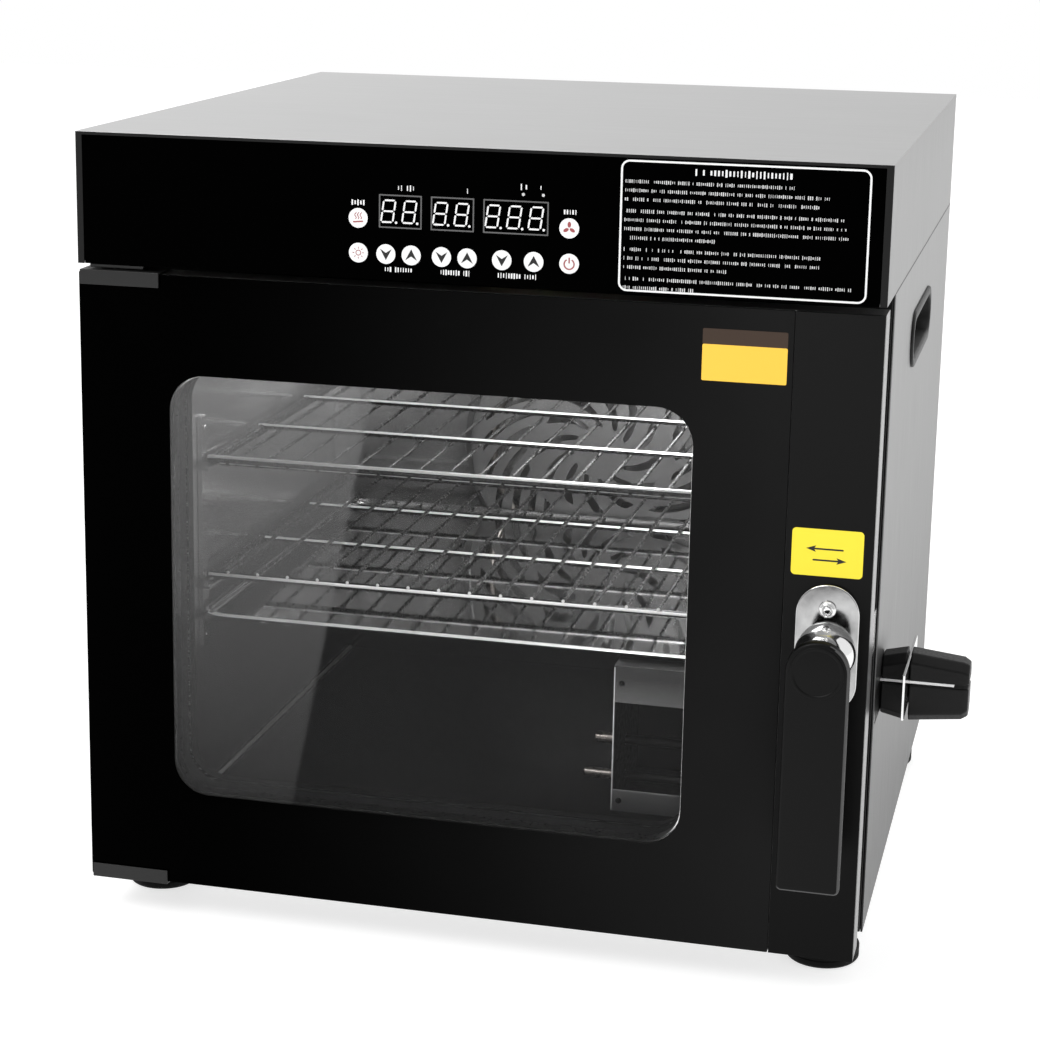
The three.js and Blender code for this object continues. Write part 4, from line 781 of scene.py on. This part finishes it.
# The lever's right and lower edge faces take the lighter plastic as a painted highlight
paintFaces(blade, leverEdgeHighlight, lambda polygon: -0.9 < polygon.normal.y < -0.2
           and (polygon.normal.x > 0.3 or polygon.normal.z < -0.3))
settle(blade, "latch", "black_plastic", "latch_lever")
capProfile = [(0, 5), (leverRadius - 2.6, 5), (leverRadius - 2.6, 0.0), (leverRadius - 4.4, 0.0),
              (leverRadius - 5.2, 0.7), (6.5, 0.55), (0, 0.5)]
cap = turned("latch_cap", easedProfile(capProfile, 0.6, 3), "y", (latchX, front, latchZ), handlePlastic, 64)
settle(cap, "latch", "black_plastic")
reach = leverHigh.y - front - latch["shoulderSeat"]
bossProfile = [(0, 0), (latch["shoulder"], 0), (latch["shoulder"], reach), (0, reach)]
boss = turned("latch_shoulder", easedProfile(bossProfile, 0.8), "y",
              (latchX, front + latch["shoulderSeat"] - latch["shoulderIn"], latchZ), handlePlastic, 40)
settle(boss, "latch", "black_plastic")
eased("latch_claw", bracketSteel, "grey_zinc", 0.4)
screwProfile = [(0, -3), (2.2, -3), (2.2, -1.6), (2.5, -3), (3.4, -3), (5, -1.7), (5, 0), (2, 0), (2, 11),
                (0, 11)]
for end in ("top", "bottom"):
    low, high = span("latch_screw_" + end)
    place = ((low.x + high.x) / 2, low.y + 3, (low.z + high.z) / 2)
    screw = turned("latch_screw_head_" + end, easedProfile(screwProfile, 0.5), "y", place, chrome, 24)
    settle(screw, "door", "bright_steel", "latch_screw_" + end)
print("latch made")

# Racks and tray
rack = {"rods": 4, "wires": 19, "wireMargin": 13.7, "rod": 2.5, "innerRod": 1.8, "sideRod": 2.0, "wire": 1.2,
        "thinRod": 0.8, "thinIn": 1.6, "thinShort": 16.0, "ease": 0.4, "litFront": 4.0}
for name, above in (("rack_upper", -1), ("rack_lower", 1)):
    low, high = span(name)
    rod, wire, margin = rack["rod"], rack["wire"], rack["wireMargin"]
    level = high.z - rod if above < 0 else low.z + rod
    wireZ = low.z + wire if above < 0 else high.z - wire
    frontY, backY = low.y + rod, high.y - rod
    middleX, middleY = (low.x + high.x) / 2, (low.y + high.y) / 2
    across, along = (0, quarter, 0), (quarter, 0, 0)
    shelf = level + above * (rack["innerRod"] - rod)
    step = (backY - frontY) / (rack["rods"] - 1)
    wide, deep = high.x - low.x, backY - frontY
    rods = [(1, (middleX, frontY, level), (middleX, frontY, level), wide, rod, across),
            (rack["rods"] - 1, (middleX, frontY + step, shelf), (middleX, backY, shelf), wide,
             rack["innerRod"], across)]
    if above < 0:
        thin = (middleX, low.y + rack["thinIn"], wireZ)
        rods.append((1, thin, thin, wide - rack["thinShort"], rack["thinRod"], across))
    wires = [(2, (low.x + rod, middleY, level), (high.x - rod, middleY, level), deep, rack["sideRod"], along),
             (rack["wires"], (low.x + margin, middleY, wireZ), (high.x - margin, middleY, wireZ),
              high.y - low.y, wire, along)]
    for part, chosen in (("_rods", rods), ("_wires", wires)):
        grid = emptyPiece(name + part)
        for count, first, last, length, radius, turn in chosen:
            addTree(grid, trees["bars"], {"Count": count, "From": at(*first), "To": at(*last),
                                          "Length": length * mm, "Radius": radius * mm, "Turn": Vector(turn),
                                          "Sides": 16, "Material": wireSteel})
        finishGrown(grid, wireSteel)
        grid.data.materials.append(rodSteel)
        easeEdges(grid, rack["ease"], 2, 60)
        # Painted highlights: the rods' upper faces, and on the lower rack the cut wire ends and a band along
        # the front rod's front, take the bright rod steel; the rods' other faces keep the dark wire steel as
        # painted shade
        for polygon in grid.data.polygons:
            cutEnd = above > 0 and polygon.normal.y < -0.5 and polygon.center.y < at(0, frontY, 0).y
            lit = polygon.normal.z > 0.5
            if above > 0 and polygon.center.y < at(0, frontY + rack["litFront"], 0).y:
                lit = -0.1 < polygon.normal.z < 0.75 and polygon.normal.y < 0
            polygon.material_index = int(lit if part == "_rods" else cutEnd)
        settle(grid, name, "bright_steel", name)

tray = {"radius": 20.0, "litDrop": 1.0, "litDepth": 6.0}
trayLow, trayHigh = span("drip_tray")


def trayRing(inset, z):
    radius = max(tray["radius"] - inset * 0.9, 4)
    loop = roundedBox(trayLow.x + inset, trayHigh.x - inset, trayLow.y + inset, trayHigh.y - inset, radius, 8)
    return [at(x, y, z) for x, y in loop]


trayBottom, trayRim = trayLow.z, trayHigh.z
trayRings = [trayRing(9, trayBottom), trayRing(6, trayBottom + 0.3), trayRing(4.6, trayBottom + 1.4),
             trayRing(4.0, trayRim - 1.4), trayRing(0.8, trayRim - 1.4), trayRing(0, trayRim - 0.7),
             trayRing(0.8, trayRim), trayRing(4.2, trayRim), trayRing(4.9, trayRim - 0.9),
             trayRing(5.6, trayBottom + 1.8), trayRing(7, trayBottom + 1.0), trayRing(10, trayBottom + 0.8)]
pan = joinRings("drip_tray_pan", trayRings, traySteel, sharp=60)
# The tray's front rim takes the bright rod steel as a painted highlight
paintFaces(pan, rodSteel, lambda polygon: polygon.center.z > at(0, 0, trayRim - tray["litDrop"]).z
           and polygon.center.y < at(0, trayLow.y + tray["litDepth"], 0).y)
settle(pan, "drip_tray", "bright_steel", "drip_tray")

# Seams where the chamber's floor and back meet its walls; the left floor seam carries a painted highlight
seam = {"radius": 1.3}
seamEnds = {"left_floor_seam": ((41.0, 56.5, 31.0), (41.0, 419.0, 31.0)),
            "right_floor_seam": ((439.3, 46.5, 30.7), (439.3, 419.3, 30.7)),
            "back_floor_seam": ((41.0, 419.3, 30.7), (439.0, 419.3, 30.7))}
for name, ends in seamEnds.items():
    seamFinish = seamSteel if name == "left_floor_seam" else linerSteel
    settle(tubeAlong(name, ends, seam["radius"], seamFinish, 12), "cabinet", "inner_steel")
print("racks and tray made")

# Fan, guard, heater, lamp and probe
fanLow, fanHigh = span("fan_guard")
fanX, fanZ = (fanLow.x + fanHigh.x) / 2, (fanLow.z + fanHigh.z) / 2
guard = {"radius": 100.0, "disc": 93.0, "sheet": 1.2, "flange": 8.0, "outerCount": 24, "innerCount": 12,
         "outer": (56, 90, 10.5), "inner": (20, 46, 9), "sweep": 30.6, "blunt": 0.8}


def slotLoop(name, inner, outer, width):
    sides = ([], [])
    steps = 10
    for step in range(steps + 1):
        share = step / steps
        radius = inner + (outer - inner) * share
        angle = math.radians(guard["sweep"]) * share
        for side, sign in zip(sides, (-1, 1)):
            end = min(1.0, 8 * min(share, 1 - share))
            wide = width * (guard["blunt"] + (1 - guard["blunt"]) * end)
            turn = angle + sign * wide / (2 * outer)
            side.append(Vector((radius * math.cos(turn), radius * math.sin(turn), 0)) * mm)
    loop = sides[0] + sides[1][::-1]
    return emptyPiece(name, loop, [(index, (index + 1) % len(loop)) for index in range(len(loop))])


outerSlot = slotLoop("outerSlot", *guard["outer"])
innerSlot = slotLoop("innerSlot", *guard["inner"])
disc = emptyPiece("fan_guard_disc")
addTree(disc, trees["disc"], {
    "Radius": guard["disc"] * mm, "Sheet": guard["sheet"] * mm, "Outer slot": outerSlot,
    "Outer count": guard["outerCount"], "Inner slot": innerSlot, "Inner count": guard["innerCount"],
    "Place": at(fanX, fanLow.y + guard["sheet"], fanZ), "Material": guardSteel})
finishGrown(disc, guardSteel)
for helper in (outerSlot, innerSlot):
    bpy.data.objects.remove(helper)
settle(disc, "cabinet", "inner_steel", "fan_guard")
depth = fanHigh.y - fanLow.y
sheet, bowl, hole = guard["sheet"], guard["radius"], guard["disc"] - 0.5
flange = bowl + guard["flange"]
rimProfile = [(hole, 0), (bowl - 1, 0), (bowl, 4), (bowl, depth - sheet), (flange, depth - sheet),
              (flange, depth), (bowl - sheet, depth), (bowl - sheet, 5), (bowl - 2.2, sheet), (hole, sheet)]
rim = turned("fan_guard_rim", easedProfile(rimProfile, 1.6, 3, True), "y", (fanX, fanLow.y, fanZ),
             guardSteel, 96, True)
settle(rim, "cabinet", "inner_steel", "fan_guard")
eased("fan_impeller", fanAlloy, "fan_alloy", 0.2)
ringLow, ringHigh = span("heating_ring")
heater = {"radius": 84.0, "tube": 3.8, "opening": 11.0, "steps": 72}
ringY = ringLow.y + heater["tube"] + 0.2
loopPoints = []
for step in range(heater["steps"] + 1):
    turn = math.radians(-90 + heater["opening"] + (360 - 2 * heater["opening"]) * step / heater["steps"])
    loopPoints.append((fanX + heater["radius"] * math.cos(turn), ringY,
                       fanZ + heater["radius"] * math.sin(turn)))
legBack = ringHigh.y - 0.2
firstLeg = [(loopPoints[0][0], legBack, loopPoints[0][2]), (loopPoints[0][0], ringY + 5, loopPoints[0][2])]
lastLeg = [(loopPoints[-1][0], ringY + 5, loopPoints[-1][2]), (loopPoints[-1][0], legBack, loopPoints[-1][2])]
coil = tubeAlong("heating_element", firstLeg + loopPoints + lastLeg, heater["tube"], heaterSheath, 12)
settle(coil, "cabinet", "heater_sheath", "heating_ring")
coat("temperature_probe", chrome)
coat("lamp_holder", lampCeramic)
lensLow, lensHigh = span("lamp_lens")
lensDepth = lensHigh.x - lensLow.x
lensRadius = (lensHigh.z - lensLow.z) / 2
lensTurns = [quarter * step / 10 for step in range(1, 10)]
lensProfile = [(0, 0), (lensRadius, 0)]
lensProfile += [(lensRadius * math.cos(turn), -lensDepth * math.sin(turn)) for turn in lensTurns]
lensProfile.append((0, -lensDepth))
lensPlace = (lensHigh.x, (lensLow.y + lensHigh.y) / 2, (lensLow.z + lensHigh.z) / 2)
lens = turned("lamp_dome", lensProfile, "x", lensPlace, lampGlass, 40)
settle(lens, "cabinet", "clear_glass", "lamp_lens")
print("fan group made")

# Igniter
igniterLow, igniterHigh = span("igniter")
igniter = {"radius": 3.1, "low": 68.0, "high": 92.0, "leftLow": 296.3, "leftHigh": 303.0, "plateHalf": 8.0,
           "plateShort": 2.4, "plateNear": 3.0, "plateFar": 0.3}
igniterY = (igniterLow.y + igniterHigh.y) / 2
bend = (igniter["high"] - igniter["low"]) / 2
bendX = igniterHigh.x - igniter["radius"] - bend
legPoints = [(igniter["leftLow"], igniterY, igniter["low"]), (housingLow.x + 1, igniterY, igniter["low"]),
             (bendX, igniterY, igniter["low"])]
legPoints += [(x, igniterY, z) for x, z in arcPoints(bendX, igniter["low"] + bend, bend, -80, 80, 14)]
legPoints += [(bendX, igniterY, igniter["high"]), (housingLow.x + 1, igniterY, igniter["high"]),
              (igniter["leftHigh"], igniterY, igniter["high"])]
rodPiece = tubeAlong("igniter_rod", legPoints, igniter["radius"], heaterSheath, 12)
# The igniter's end inside the housing takes the dark steel: soot and painted shade
sootAndShadeFrom = at(housingLow.x + 1.5, 0, 0).x
paintFaces(rodPiece, sootedSteel, lambda polygon: polygon.center.x > sootAndShadeFrom)
settle(rodPiece, "cabinet", "heater_sheath", "igniter")
half, short = igniter["plateHalf"], igniter["plateShort"]
bracketLoop = roundedBox(igniterY - half, igniterY + half, igniterLow.z + short, igniterHigh.z - short, 2)
bracketPlate = plate("igniter_plate", [bracketLoop], "yz", housingLow.x - igniter["plateNear"],
                     housingLow.x - igniter["plateFar"], partSteel, 0.3)
settle(bracketPlate, "cabinet", "heater_sheath", "igniter")

# Chip drawer
drawer = {"trayEdge": 0.2, "tangEdge": 0.3, "shieldEdge": 0.25, "gripEdge": 1.3}
eased("chip_tray", sootedSteel, "inner_steel", drawer["trayEdge"])
# The tang's near-white rod steel is a painted highlight
eased("drawer_tang", rodSteel, "bright_steel", drawer["tangEdge"])
eased("drawer_shield", chrome, "bright_steel", drawer["shieldEdge"])
for half in ("upper", "lower"):
    eased("drawer_grip_" + half, gripPlastic, "black_plastic", drawer["gripEdge"], 4)
print("drawer made")

# Carry cups
cupShape = {"flange": 4.0, "seat": 0.3, "proud": 1.8, "depth": 24.0}
for side, sign in (("left", -1), ("right", 1)):
    low, high = span("carry_cup_" + side)
    panelLow, panelHigh = span("side_panel_" + side)
    face = panelHigh.x if sign > 0 else panelLow.x
    seatX, topX = face + sign * cupShape["seat"], face + sign * cupShape["proud"]
    floorX = face - sign * cupShape["depth"]
    midY, midZ = (low.y + high.y) / 2, (low.z + high.z) / 2
    halfY, halfZ = (high.y - low.y) / 2 - cupShape["flange"], (high.z - low.z) / 2 - cupShape["flange"]

    def cupRing(grow, x):
        loop = roundedBox(midY - halfY - grow, midY + halfY + grow, midZ - halfZ - grow, midZ + halfZ + grow,
                          halfZ + grow - 0.05, 10)
        return [at(x, y, z) for y, z in loop]

    rings = [cupRing(-4, floorX), cupRing(-1, floorX), cupRing(0, floorX + sign * 1), cupRing(0, seatX),
             cupRing(4, seatX), cupRing(4, topX - sign * 0.7), cupRing(3.3, topX), cupRing(-0.8, topX),
             cupRing(-1.6, topX - sign * 0.4), cupRing(-2, topX - sign * 1.6),
             cupRing(-2.4, floorX + sign * 4), cupRing(-3.4, floorX + sign * 2.3),
             cupRing(-5.5, floorX + sign * 2)]
    cup = joinRings("carry_cup_shell_" + side, rings, cupPlastic, sharp=60)
    settle(cup, "cabinet", "black_plastic", "carry_cup_" + side)

# Feet and cord gland
footProfile = [(0, -21), (21, -21), (22.5, -19.2), (22.5, -16.4), (22.0, -15.8), (22.5, -15.2), (22.5, -11.6),
               (21.6, -10.7), (14.4, -9.4), (14, -8), (14, -0.3), (3, -0.3), (3, 9), (0, 9)]
for node in ("foot_front_left", "foot_front_right", "foot_rear_left", "foot_rear_right"):
    low, high = span(node)
    pad = turned(node + "_pad", easedProfile(footProfile, 0.8, 2), "z",
                 ((low.x + high.x) / 2, (low.y + high.y) / 2, 0), footRubber, 48)
    settle(pad, "cabinet", "black_rubber", node)
eased("cord_gland", handlePlastic, "black_plastic", 0.4)
print("cups, feet and gland made")

# Screw heads: a low dome with a cross recess
screws = {"radius": 3.6, "rise": 1.8, "smallRadius": 1.9, "smallRise": 1.2, "recess": 0.8, "seed": 7}


def crossHead(name, radius, rise):
    profile = [(0, 0), (radius, 0), (radius, rise * 0.3), (radius * 0.85, rise * 0.72),
               (radius * 0.5, rise * 0.95), (0, rise)]
    head = turned(name, easedProfile(profile, 0.3, 2), "z", (0, 0, 0), chrome, 20)
    head.data.transform(Matrix.Translation(-at(0, 0, 0)))
    work = bmesh.new()
    for turn in (0, quarter):
        size = Vector((radius * 1.1, screws["recess"], rise)) * mm
        box = bmesh.ops.create_cube(work, size=1.0)
        move = (Matrix.Translation((0, 0, rise * 1.1 * mm)) @ Matrix.Rotation(turn, 4, "Z")
                @ Matrix.Diagonal((*size, 1)))
        bmesh.ops.transform(work, matrix=move, verts=box["verts"])
    cutter = linkPiece(name + "Cutter", fromBmesh(work, name + "Cutter"), chrome)
    recess = head.modifiers.new("recess", "BOOLEAN")
    recess.object = cutter
    recess.operation = "DIFFERENCE"
    recess.solver = "EXACT"
    recess.use_self = True
    plainMesh(head)
    bpy.data.objects.remove(cutter)
    return head


def screwRow(name, places, turn, head, material=chrome, body="cabinet", slotName="bright_steel"):
    row = emptyPiece(name, [at(*place) for place in places])
    addTree(row, trees["heads"], {"Head": head, "Turn": Vector(turn), "Seed": screws["seed"],
                                  "Material": material})
    finishGrown(row, material)
    return settle(row, body, slotName)


panHead = crossHead("panHead", screws["radius"], screws["rise"])
smallHead = crossHead("smallHead", screws["smallRadius"], screws["smallRise"])
backY = span("back_panel")[1].y
backPlaces = [(x, backY, z) for x in (14, 128, 240, 352, 466) for z in (10, 382)]
backPlaces += [(x, backY, z) for x in (14, 466) for z in (134, 258)]
backPlaces += [(x, coverHigh.y, 428) for x in (14, 466)] + [(x, coverHigh.y, 404) for x in (128, 240, 352)]
screwRow("back_screws", backPlaces, (-quarter, 0, 0), panHead)
leftFace, rightFace = span("shelf_rails_left")[0].x + 3, span("shelf_rails_right")[1].x - 3
screwRow("left_rail_screws", [(leftFace, y, z) for y in (95, 383) for z in (138, 276)], (0, quarter, 0),
         smallHead)
screwRow("right_rail_screws", [(rightFace, 95, 276), (rightFace, 383, 138), (rightFace, 383, 276)],
         (0, -quarter, 0), smallHead)
screwRow("housing_screws", [(housingLow.x + 5, housingLow.y, z) for z in (66, 142)], (quarter, 0, 0),
         smallHead, rimBlack)
for head in (panHead, smallHead):
    bpy.data.objects.remove(head)
print("screws made")

# Printed marks on the touch panel
panel = {"print": 0.12, "digitWidth": 8.0, "digitHeight": 13.6, "stroke": 1.0, "slant": 0.14, "gap": 0.35,
         "disc": 5.75, "arrowHalf": 3.5, "arrowDrop": 3.0, "arrowNotch": 0.7}
panelLow, panelHigh = span("control_glass")
panelY = panelLow.y
printNear, printFar = panelY - panel["print"], panelY + 0.02
markNear = printNear - 0.05


def printed(name, loops, material, near=None, far=None, body="cabinet", slotName="black_glass"):
    near, far = printNear if near is None else near, printFar if far is None else far
    return settle(plate(name, loops, "xz", near, far, material), body, slotName)


def lean(points, baseZ):
    return [(x + (z - baseZ) * panel["slant"], z) for x, z in points]


def segment(x0, z0, x1, z1):
    along = Vector((x1 - x0, z1 - z0)).normalized()
    across = Vector((-along.y, along.x)) * panel["stroke"] / 2
    start, end = Vector((x0, z0)) + along * panel["gap"], Vector((x1, z1)) - along * panel["gap"]
    tip = along * panel["stroke"] / 2
    return [tuple(start), tuple(start + tip + across), tuple(end - tip + across), tuple(end),
            tuple(end - tip - across), tuple(start + tip - across)]


def digitLoops(x, z):
    stroke = panel["stroke"]
    wide, tall, half = panel["digitWidth"] - stroke, panel["digitHeight"] - stroke, stroke / 2
    left, low = x - wide / 2, z - tall / 2
    right, middle, high = left + wide, z, low + tall
    bars = [(left, low, right, low), (left, middle, right, middle), (left, high, right, high),
            (left, low, left, middle), (left, middle, left, high), (right, low, right, middle),
            (right, middle, right, high)]
    loops = [lean(segment(*bar), z) for bar in bars]
    loops.append(ringPoints(right + 2.1 - tall * panel["slant"] / 2, low - half * 0.3, 0.75, 12))
    return loops


digitCount = {"display_ignition_time": 2, "display_heat_time": 2, "display_temperature": 3}
digits, frames = [], []
for node, count in digitCount.items():
    low, high = span(node)
    pitch = (high.x - low.x) / count
    middleZ = (low.z + high.z) / 2
    for index in range(count):
        digits += digitLoops(low.x + pitch * (index + 0.5) - 0.9, middleZ)
    frames.append(roundedBox(low.x - 0.2, high.x + 0.2, low.z - 0.2, high.z + 0.2, 0.3, 2))
    frames.append(roundedBox(low.x + 0.6, high.x - 0.6, low.z + 0.6, high.z - 0.6, 0.3, 2)[::-1])
printed("display_digits", digits, whitePrint)
printed("display_windows", frames, greyPrint)

pairs = [(191.6, 206.8), (224.9, 240.1), (260.6, 279.3)]
lowRow, highRow = 408.4, 428.6
discPlaces = {"smoke": (174.8, highRow), "lamp": (175.0, lowRow), "fan": (299.6, highRow),
              "power": (300.0, lowRow)}
centres = [(x, lowRow) for pair in pairs for x in pair] + list(discPlaces.values())
printed("key_discs", [ringPoints(x, z, panel["disc"], 40) for x, z in centres], whitePrint)


def dart(x, z, up):
    half, drop = panel["arrowHalf"], up * panel["arrowDrop"]
    points = [(x - half, z - drop), (x, z + up * half), (x + half, z - drop),
              (x, z - up * panel["arrowNotch"])]
    return points if up > 0 else points[::-1]


printed("key_arrows", [dart(x, lowRow, up) for pair in pairs for x, up in zip(pair, (-1, 1))], blackPrint,
        markNear, printNear + 0.02)


def iconLoops():
    loops = []
    x, z = discPlaces["smoke"]
    for offset in (-1.6, 0, 1.6):
        wave = [(x + offset + 0.5 * math.sin(step * 1.1), z - 0.6 + step * 0.55) for step in range(8)]
        loops.append(strokeOutline(wave, 0.45))
    loops.append(strokeOutline([(x - 3, z - 2.4), (x + 3, z - 1.8)], 0.8))
    x, z = discPlaces["lamp"]
    loops.append(ringPoints(x, z, 1.7, 20))
    loops.append(ringPoints(x, z, 1.25, 20)[::-1])
    for step in range(8):
        turn = step * math.pi / 4
        loops.append(strokeOutline([(x + 2.4 * math.cos(turn), z + 2.4 * math.sin(turn)),
                                    (x + 3.5 * math.cos(turn), z + 3.5 * math.sin(turn))], 0.4))
    x, z = discPlaces["fan"]
    for step in range(3):
        turn = math.radians(90 + 120 * step)
        middle = (x + 2.1 * math.cos(turn), z + 2.1 * math.sin(turn))
        loops.append([(middle[0] + 1.7 * math.cos(a) * math.cos(turn) - 1.0 * math.sin(a) * math.sin(turn),
                       middle[1] + 1.7 * math.cos(a) * math.sin(turn) + 1.0 * math.sin(a) * math.cos(turn))
                      for a in (2 * math.pi * index / 14 for index in range(14))])
    x, z = discPlaces["power"]
    loops.append(strokeOutline(arcPoints(x, z - 0.3, 2.9, 120, 420, 20), 0.8))
    loops.append(strokeOutline([(x, z + 0.2), (x, z + 3.5)], 0.8))
    return loops


printed("key_icons", iconLoops(), redPrint, markNear, printNear + 0.02)

# Rows of small plain marks beside the keys and displays
marks = (3.6, 1.5, 0.9, 3)  # height, pitch, share kept and seed
markLines = [(170.5, 178.9, 437.6), (190.6, 207.6, 399.6), (224.0, 243.6, 399.6), (258.0, 281.4, 399.6),
             (296.0, 304.0, 437.8), (198.2, 208.6, 447.0), (236.2, 240.6, 447.0), (270.6, 275.0, 450.8),
             (282.0, 286.4, 450.8)]


def markRows(name, rows, tall, pitch, kept, seed, material):
    level = (printNear + printFar) / 2
    points = [at(x, level, z) for left, right, z in rows for x in (left + pitch / 2, right - pitch / 2)]
    carrier = emptyPiece(name, points, [(index, index + 1) for index in range(0, len(points), 2)])
    addTree(carrier, trees["marks"], {
        "Pitch": pitch * mm, "Tall": tall * mm, "Thick": (printFar - printNear) * mm, "Kept": kept,
        "Seed": seed, "Material": material})
    finishGrown(carrier, material)
    return settle(carrier, "cabinet", "black_glass")


markRows("key_marks", markLines, *marks, whitePrint)
printed("unit_dots", [ringPoints(x, 446.6, 0.9, 12) for x in (272.6, 284.2)], markPrint)

# Marked field: a rounded frame, a heading row and rows of marks
field = {"left": 328.5, "right": 468.3, "low": 394.6, "high": 468.9, "radius": 5.0, "line": 1.1,
         "titleLeft": 370.0, "titleRight": 425.0, "titleDrop": 5.6, "rowIn": 2.4, "firstRow": 12.0,
         "pitch": 5.05, "gap": 1.5, "titleMarks": (4.4, 2.1, 0.92, 5), "rowMarks": (2.2, 1.15, 0.84, 9)}
rowEnds = (0.70, 0.84, 0.80, 0.90, 0.91, 0.92, 0.39, 0.82, 0.81, 0.44, 0.94, 0.31)
rowsAfterGap = (3, 7, 10)
printed("field_frame", [
    roundedBox(field["left"], field["right"], field["low"], field["high"], field["radius"]),
    roundedBox(field["left"] + field["line"], field["right"] - field["line"], field["low"] + field["line"],
               field["high"] - field["line"], field["radius"] - field["line"])[::-1],
], whitePrint)
heading = [(field["titleLeft"], field["titleRight"], field["high"] - field["titleDrop"])]
markRows("field_heading", heading, *field["titleMarks"], whitePrint)
rows = []
level = field["high"] - field["firstRow"]
for index, share in enumerate(rowEnds):
    if index in rowsAfterGap:
        level -= field["gap"]
    rows.append((field["left"] + field["rowIn"], field["left"] + (field["right"] - field["left"]) * share,
                 level))
    level -= field["pitch"]
markRows("field_rows", rows, *field["rowMarks"], markPrint)
print("panel printed")

# Labels on the door: one of two colours, and one with two arrows
label = {"film": 0.15, "sunk": 0.02, "bandShare": 0.3, "corner": 0.8, "wideCorner": 2.4}
labelNear, labelFar = -label["film"], label["sunk"]
left, right, low, high = 378.0, 426.2, 346.3, 376.2
band = high - (high - low) * label["bandShare"]
for name, below, over, film in (("amber_label", low, band, amberFilm), ("dark_label", band, high, darkFilm)):
    printed(name, [roundedBox(left, right, below, over, label["corner"], 3)], film, labelNear, labelFar,
            "door", "door_glass")
arrow = {"head": 4.8, "line": 0.5, "barb": 0.8, "half": 1.9}
yellow = (433.3, 474.0, 237.2, 264.8)
printed("yellow_label", [roundedBox(*yellow, label["wideCorner"])], yellowFilm, labelNear, labelFar, "door",
        "black_stile")


def arrowLoop(tailX, tipX, z):
    way = 1 if tipX > tailX else -1
    line, half = arrow["line"], arrow["half"]
    neck = tipX - way * arrow["head"]
    barb = neck - way * arrow["barb"]
    loop = [(tailX, z - line), (neck, z - line), (barb, z - half), (tipX, z), (barb, z + half),
            (neck, z + line), (tailX, z + line)]
    return loop if way > 0 else loop[::-1]


printed("label_arrows", [arrowLoop(462.7, 441.5, 253.2), arrowLoop(445.5, 464.6, 246.6)], blackPrint,
        labelNear - 0.05, labelNear + 0.02, "door", "black_stile")
print("labels made")

# Floor, light and camera
studio = {"floorSize": 12.0, "floorGlow": 0.7, "backdrop": 1.0, "room": 0.5, "roomY": -0.7,
          "backdropY": 0.1, "lowered": 0.0002}
work = bmesh.new()
bmesh.ops.create_grid(work, x_segments=1, y_segments=1, size=studio["floorSize"] / 2)
paleFloor = finish("paleFloor", 196, 192, 0.7, 0.05, 0.0, 30, 0.0, 1.0, specular=0.1,
                   Emission_Color=(1, 1, 1, 1), Emission_Strength=studio["floorGlow"])
floor = linkPiece("studio_floor", fromBmesh(work, "studio_floor"), paleFloor)
floor.data.transform(Matrix.Translation((0, 0, cadLow.z - studio["lowered"])))
floor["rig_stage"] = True

# Light all round, and less of it on the side that the front faces
world = bpy.data.worlds.new("studio")
bpy.context.scene.world = world
world.use_nodes = True
sky = world.node_tree
direction = addNode(sky, "ShaderNodeTexCoord").outputs["Generated"]
toBack = addNode(sky, "ShaderNodeSeparateXYZ", {"Vector": direction}).outputs["Y"]
glow = mapRange(sky, toBack, studio["roomY"], studio["backdropY"], studio["room"], studio["backdrop"])
sky.nodes["Background"].inputs["Color"].default_value = (1, 1, 1, 1)
sky.links.new(glow.outputs[0], sky.nodes["Background"].inputs["Strength"])


def softLight(name, place, target, width, height, power):
    lamp = bpy.data.lights.new(name, "AREA")
    lamp.shape = "RECTANGLE"
    lamp.size, lamp.size_y = width, height
    lamp.energy = power
    holder = bpy.data.objects.new(name, lamp)
    bpy.context.scene.collection.objects.link(holder)
    holder.location = place
    holder.rotation_euler = (Vector(target) - Vector(place)).to_track_quat("-Z", "Y").to_euler()
    return holder


# Place, target, width and height in metres, and power
lights = {"overhead": ((0, -0.2, 2.4), (0, 0, 0.2), 2.6, 2.6, 10),
          "frontSoftbox": ((-0.9, -1.8, 2.0), (0, 0, 0.25), 1.4, 1.0, 30),
          "chamberLamp": (at(300, 200, 360), at(150, 300, 100), 0.16, 0.16, 1.7)}
for name, setting in lights.items():
    softLight(name, *setting)

cameraFit = {"place": (0.336, -1.6085, 0.6489), "pitch": -13.506, "yaw": 14.471, "roll": 0.801,
             "focal": 2520.6, "centreX": 470.0, "centreY": 470.0, "image": 1040.0}
camera = bpy.data.cameras.new("photoCamera")
camera.sensor_width = 36.0
camera.lens = cameraFit["focal"] / cameraFit["image"] * camera.sensor_width
camera.shift_x = (cameraFit["image"] / 2 - cameraFit["centreX"]) / cameraFit["image"]
camera.shift_y = (cameraFit["centreY"] - cameraFit["image"] / 2) / cameraFit["image"]
cameraHolder = bpy.data.objects.new("photoCamera", camera)
bpy.context.scene.collection.objects.link(cameraHolder)
turn = (Matrix.Rotation(math.radians(cameraFit["yaw"]), 4, "Z")
        @ Matrix.Rotation(math.radians(90 + cameraFit["pitch"]), 4, "X")
        @ Matrix.Rotation(math.radians(cameraFit["roll"]), 4, "Z"))
cameraHolder.matrix_world = Matrix.Translation(cameraFit["place"]) @ turn
bpy.context.scene.camera = cameraHolder
bpy.context.scene.view_settings.view_transform = "Standard"
print("camera set")

low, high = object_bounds()
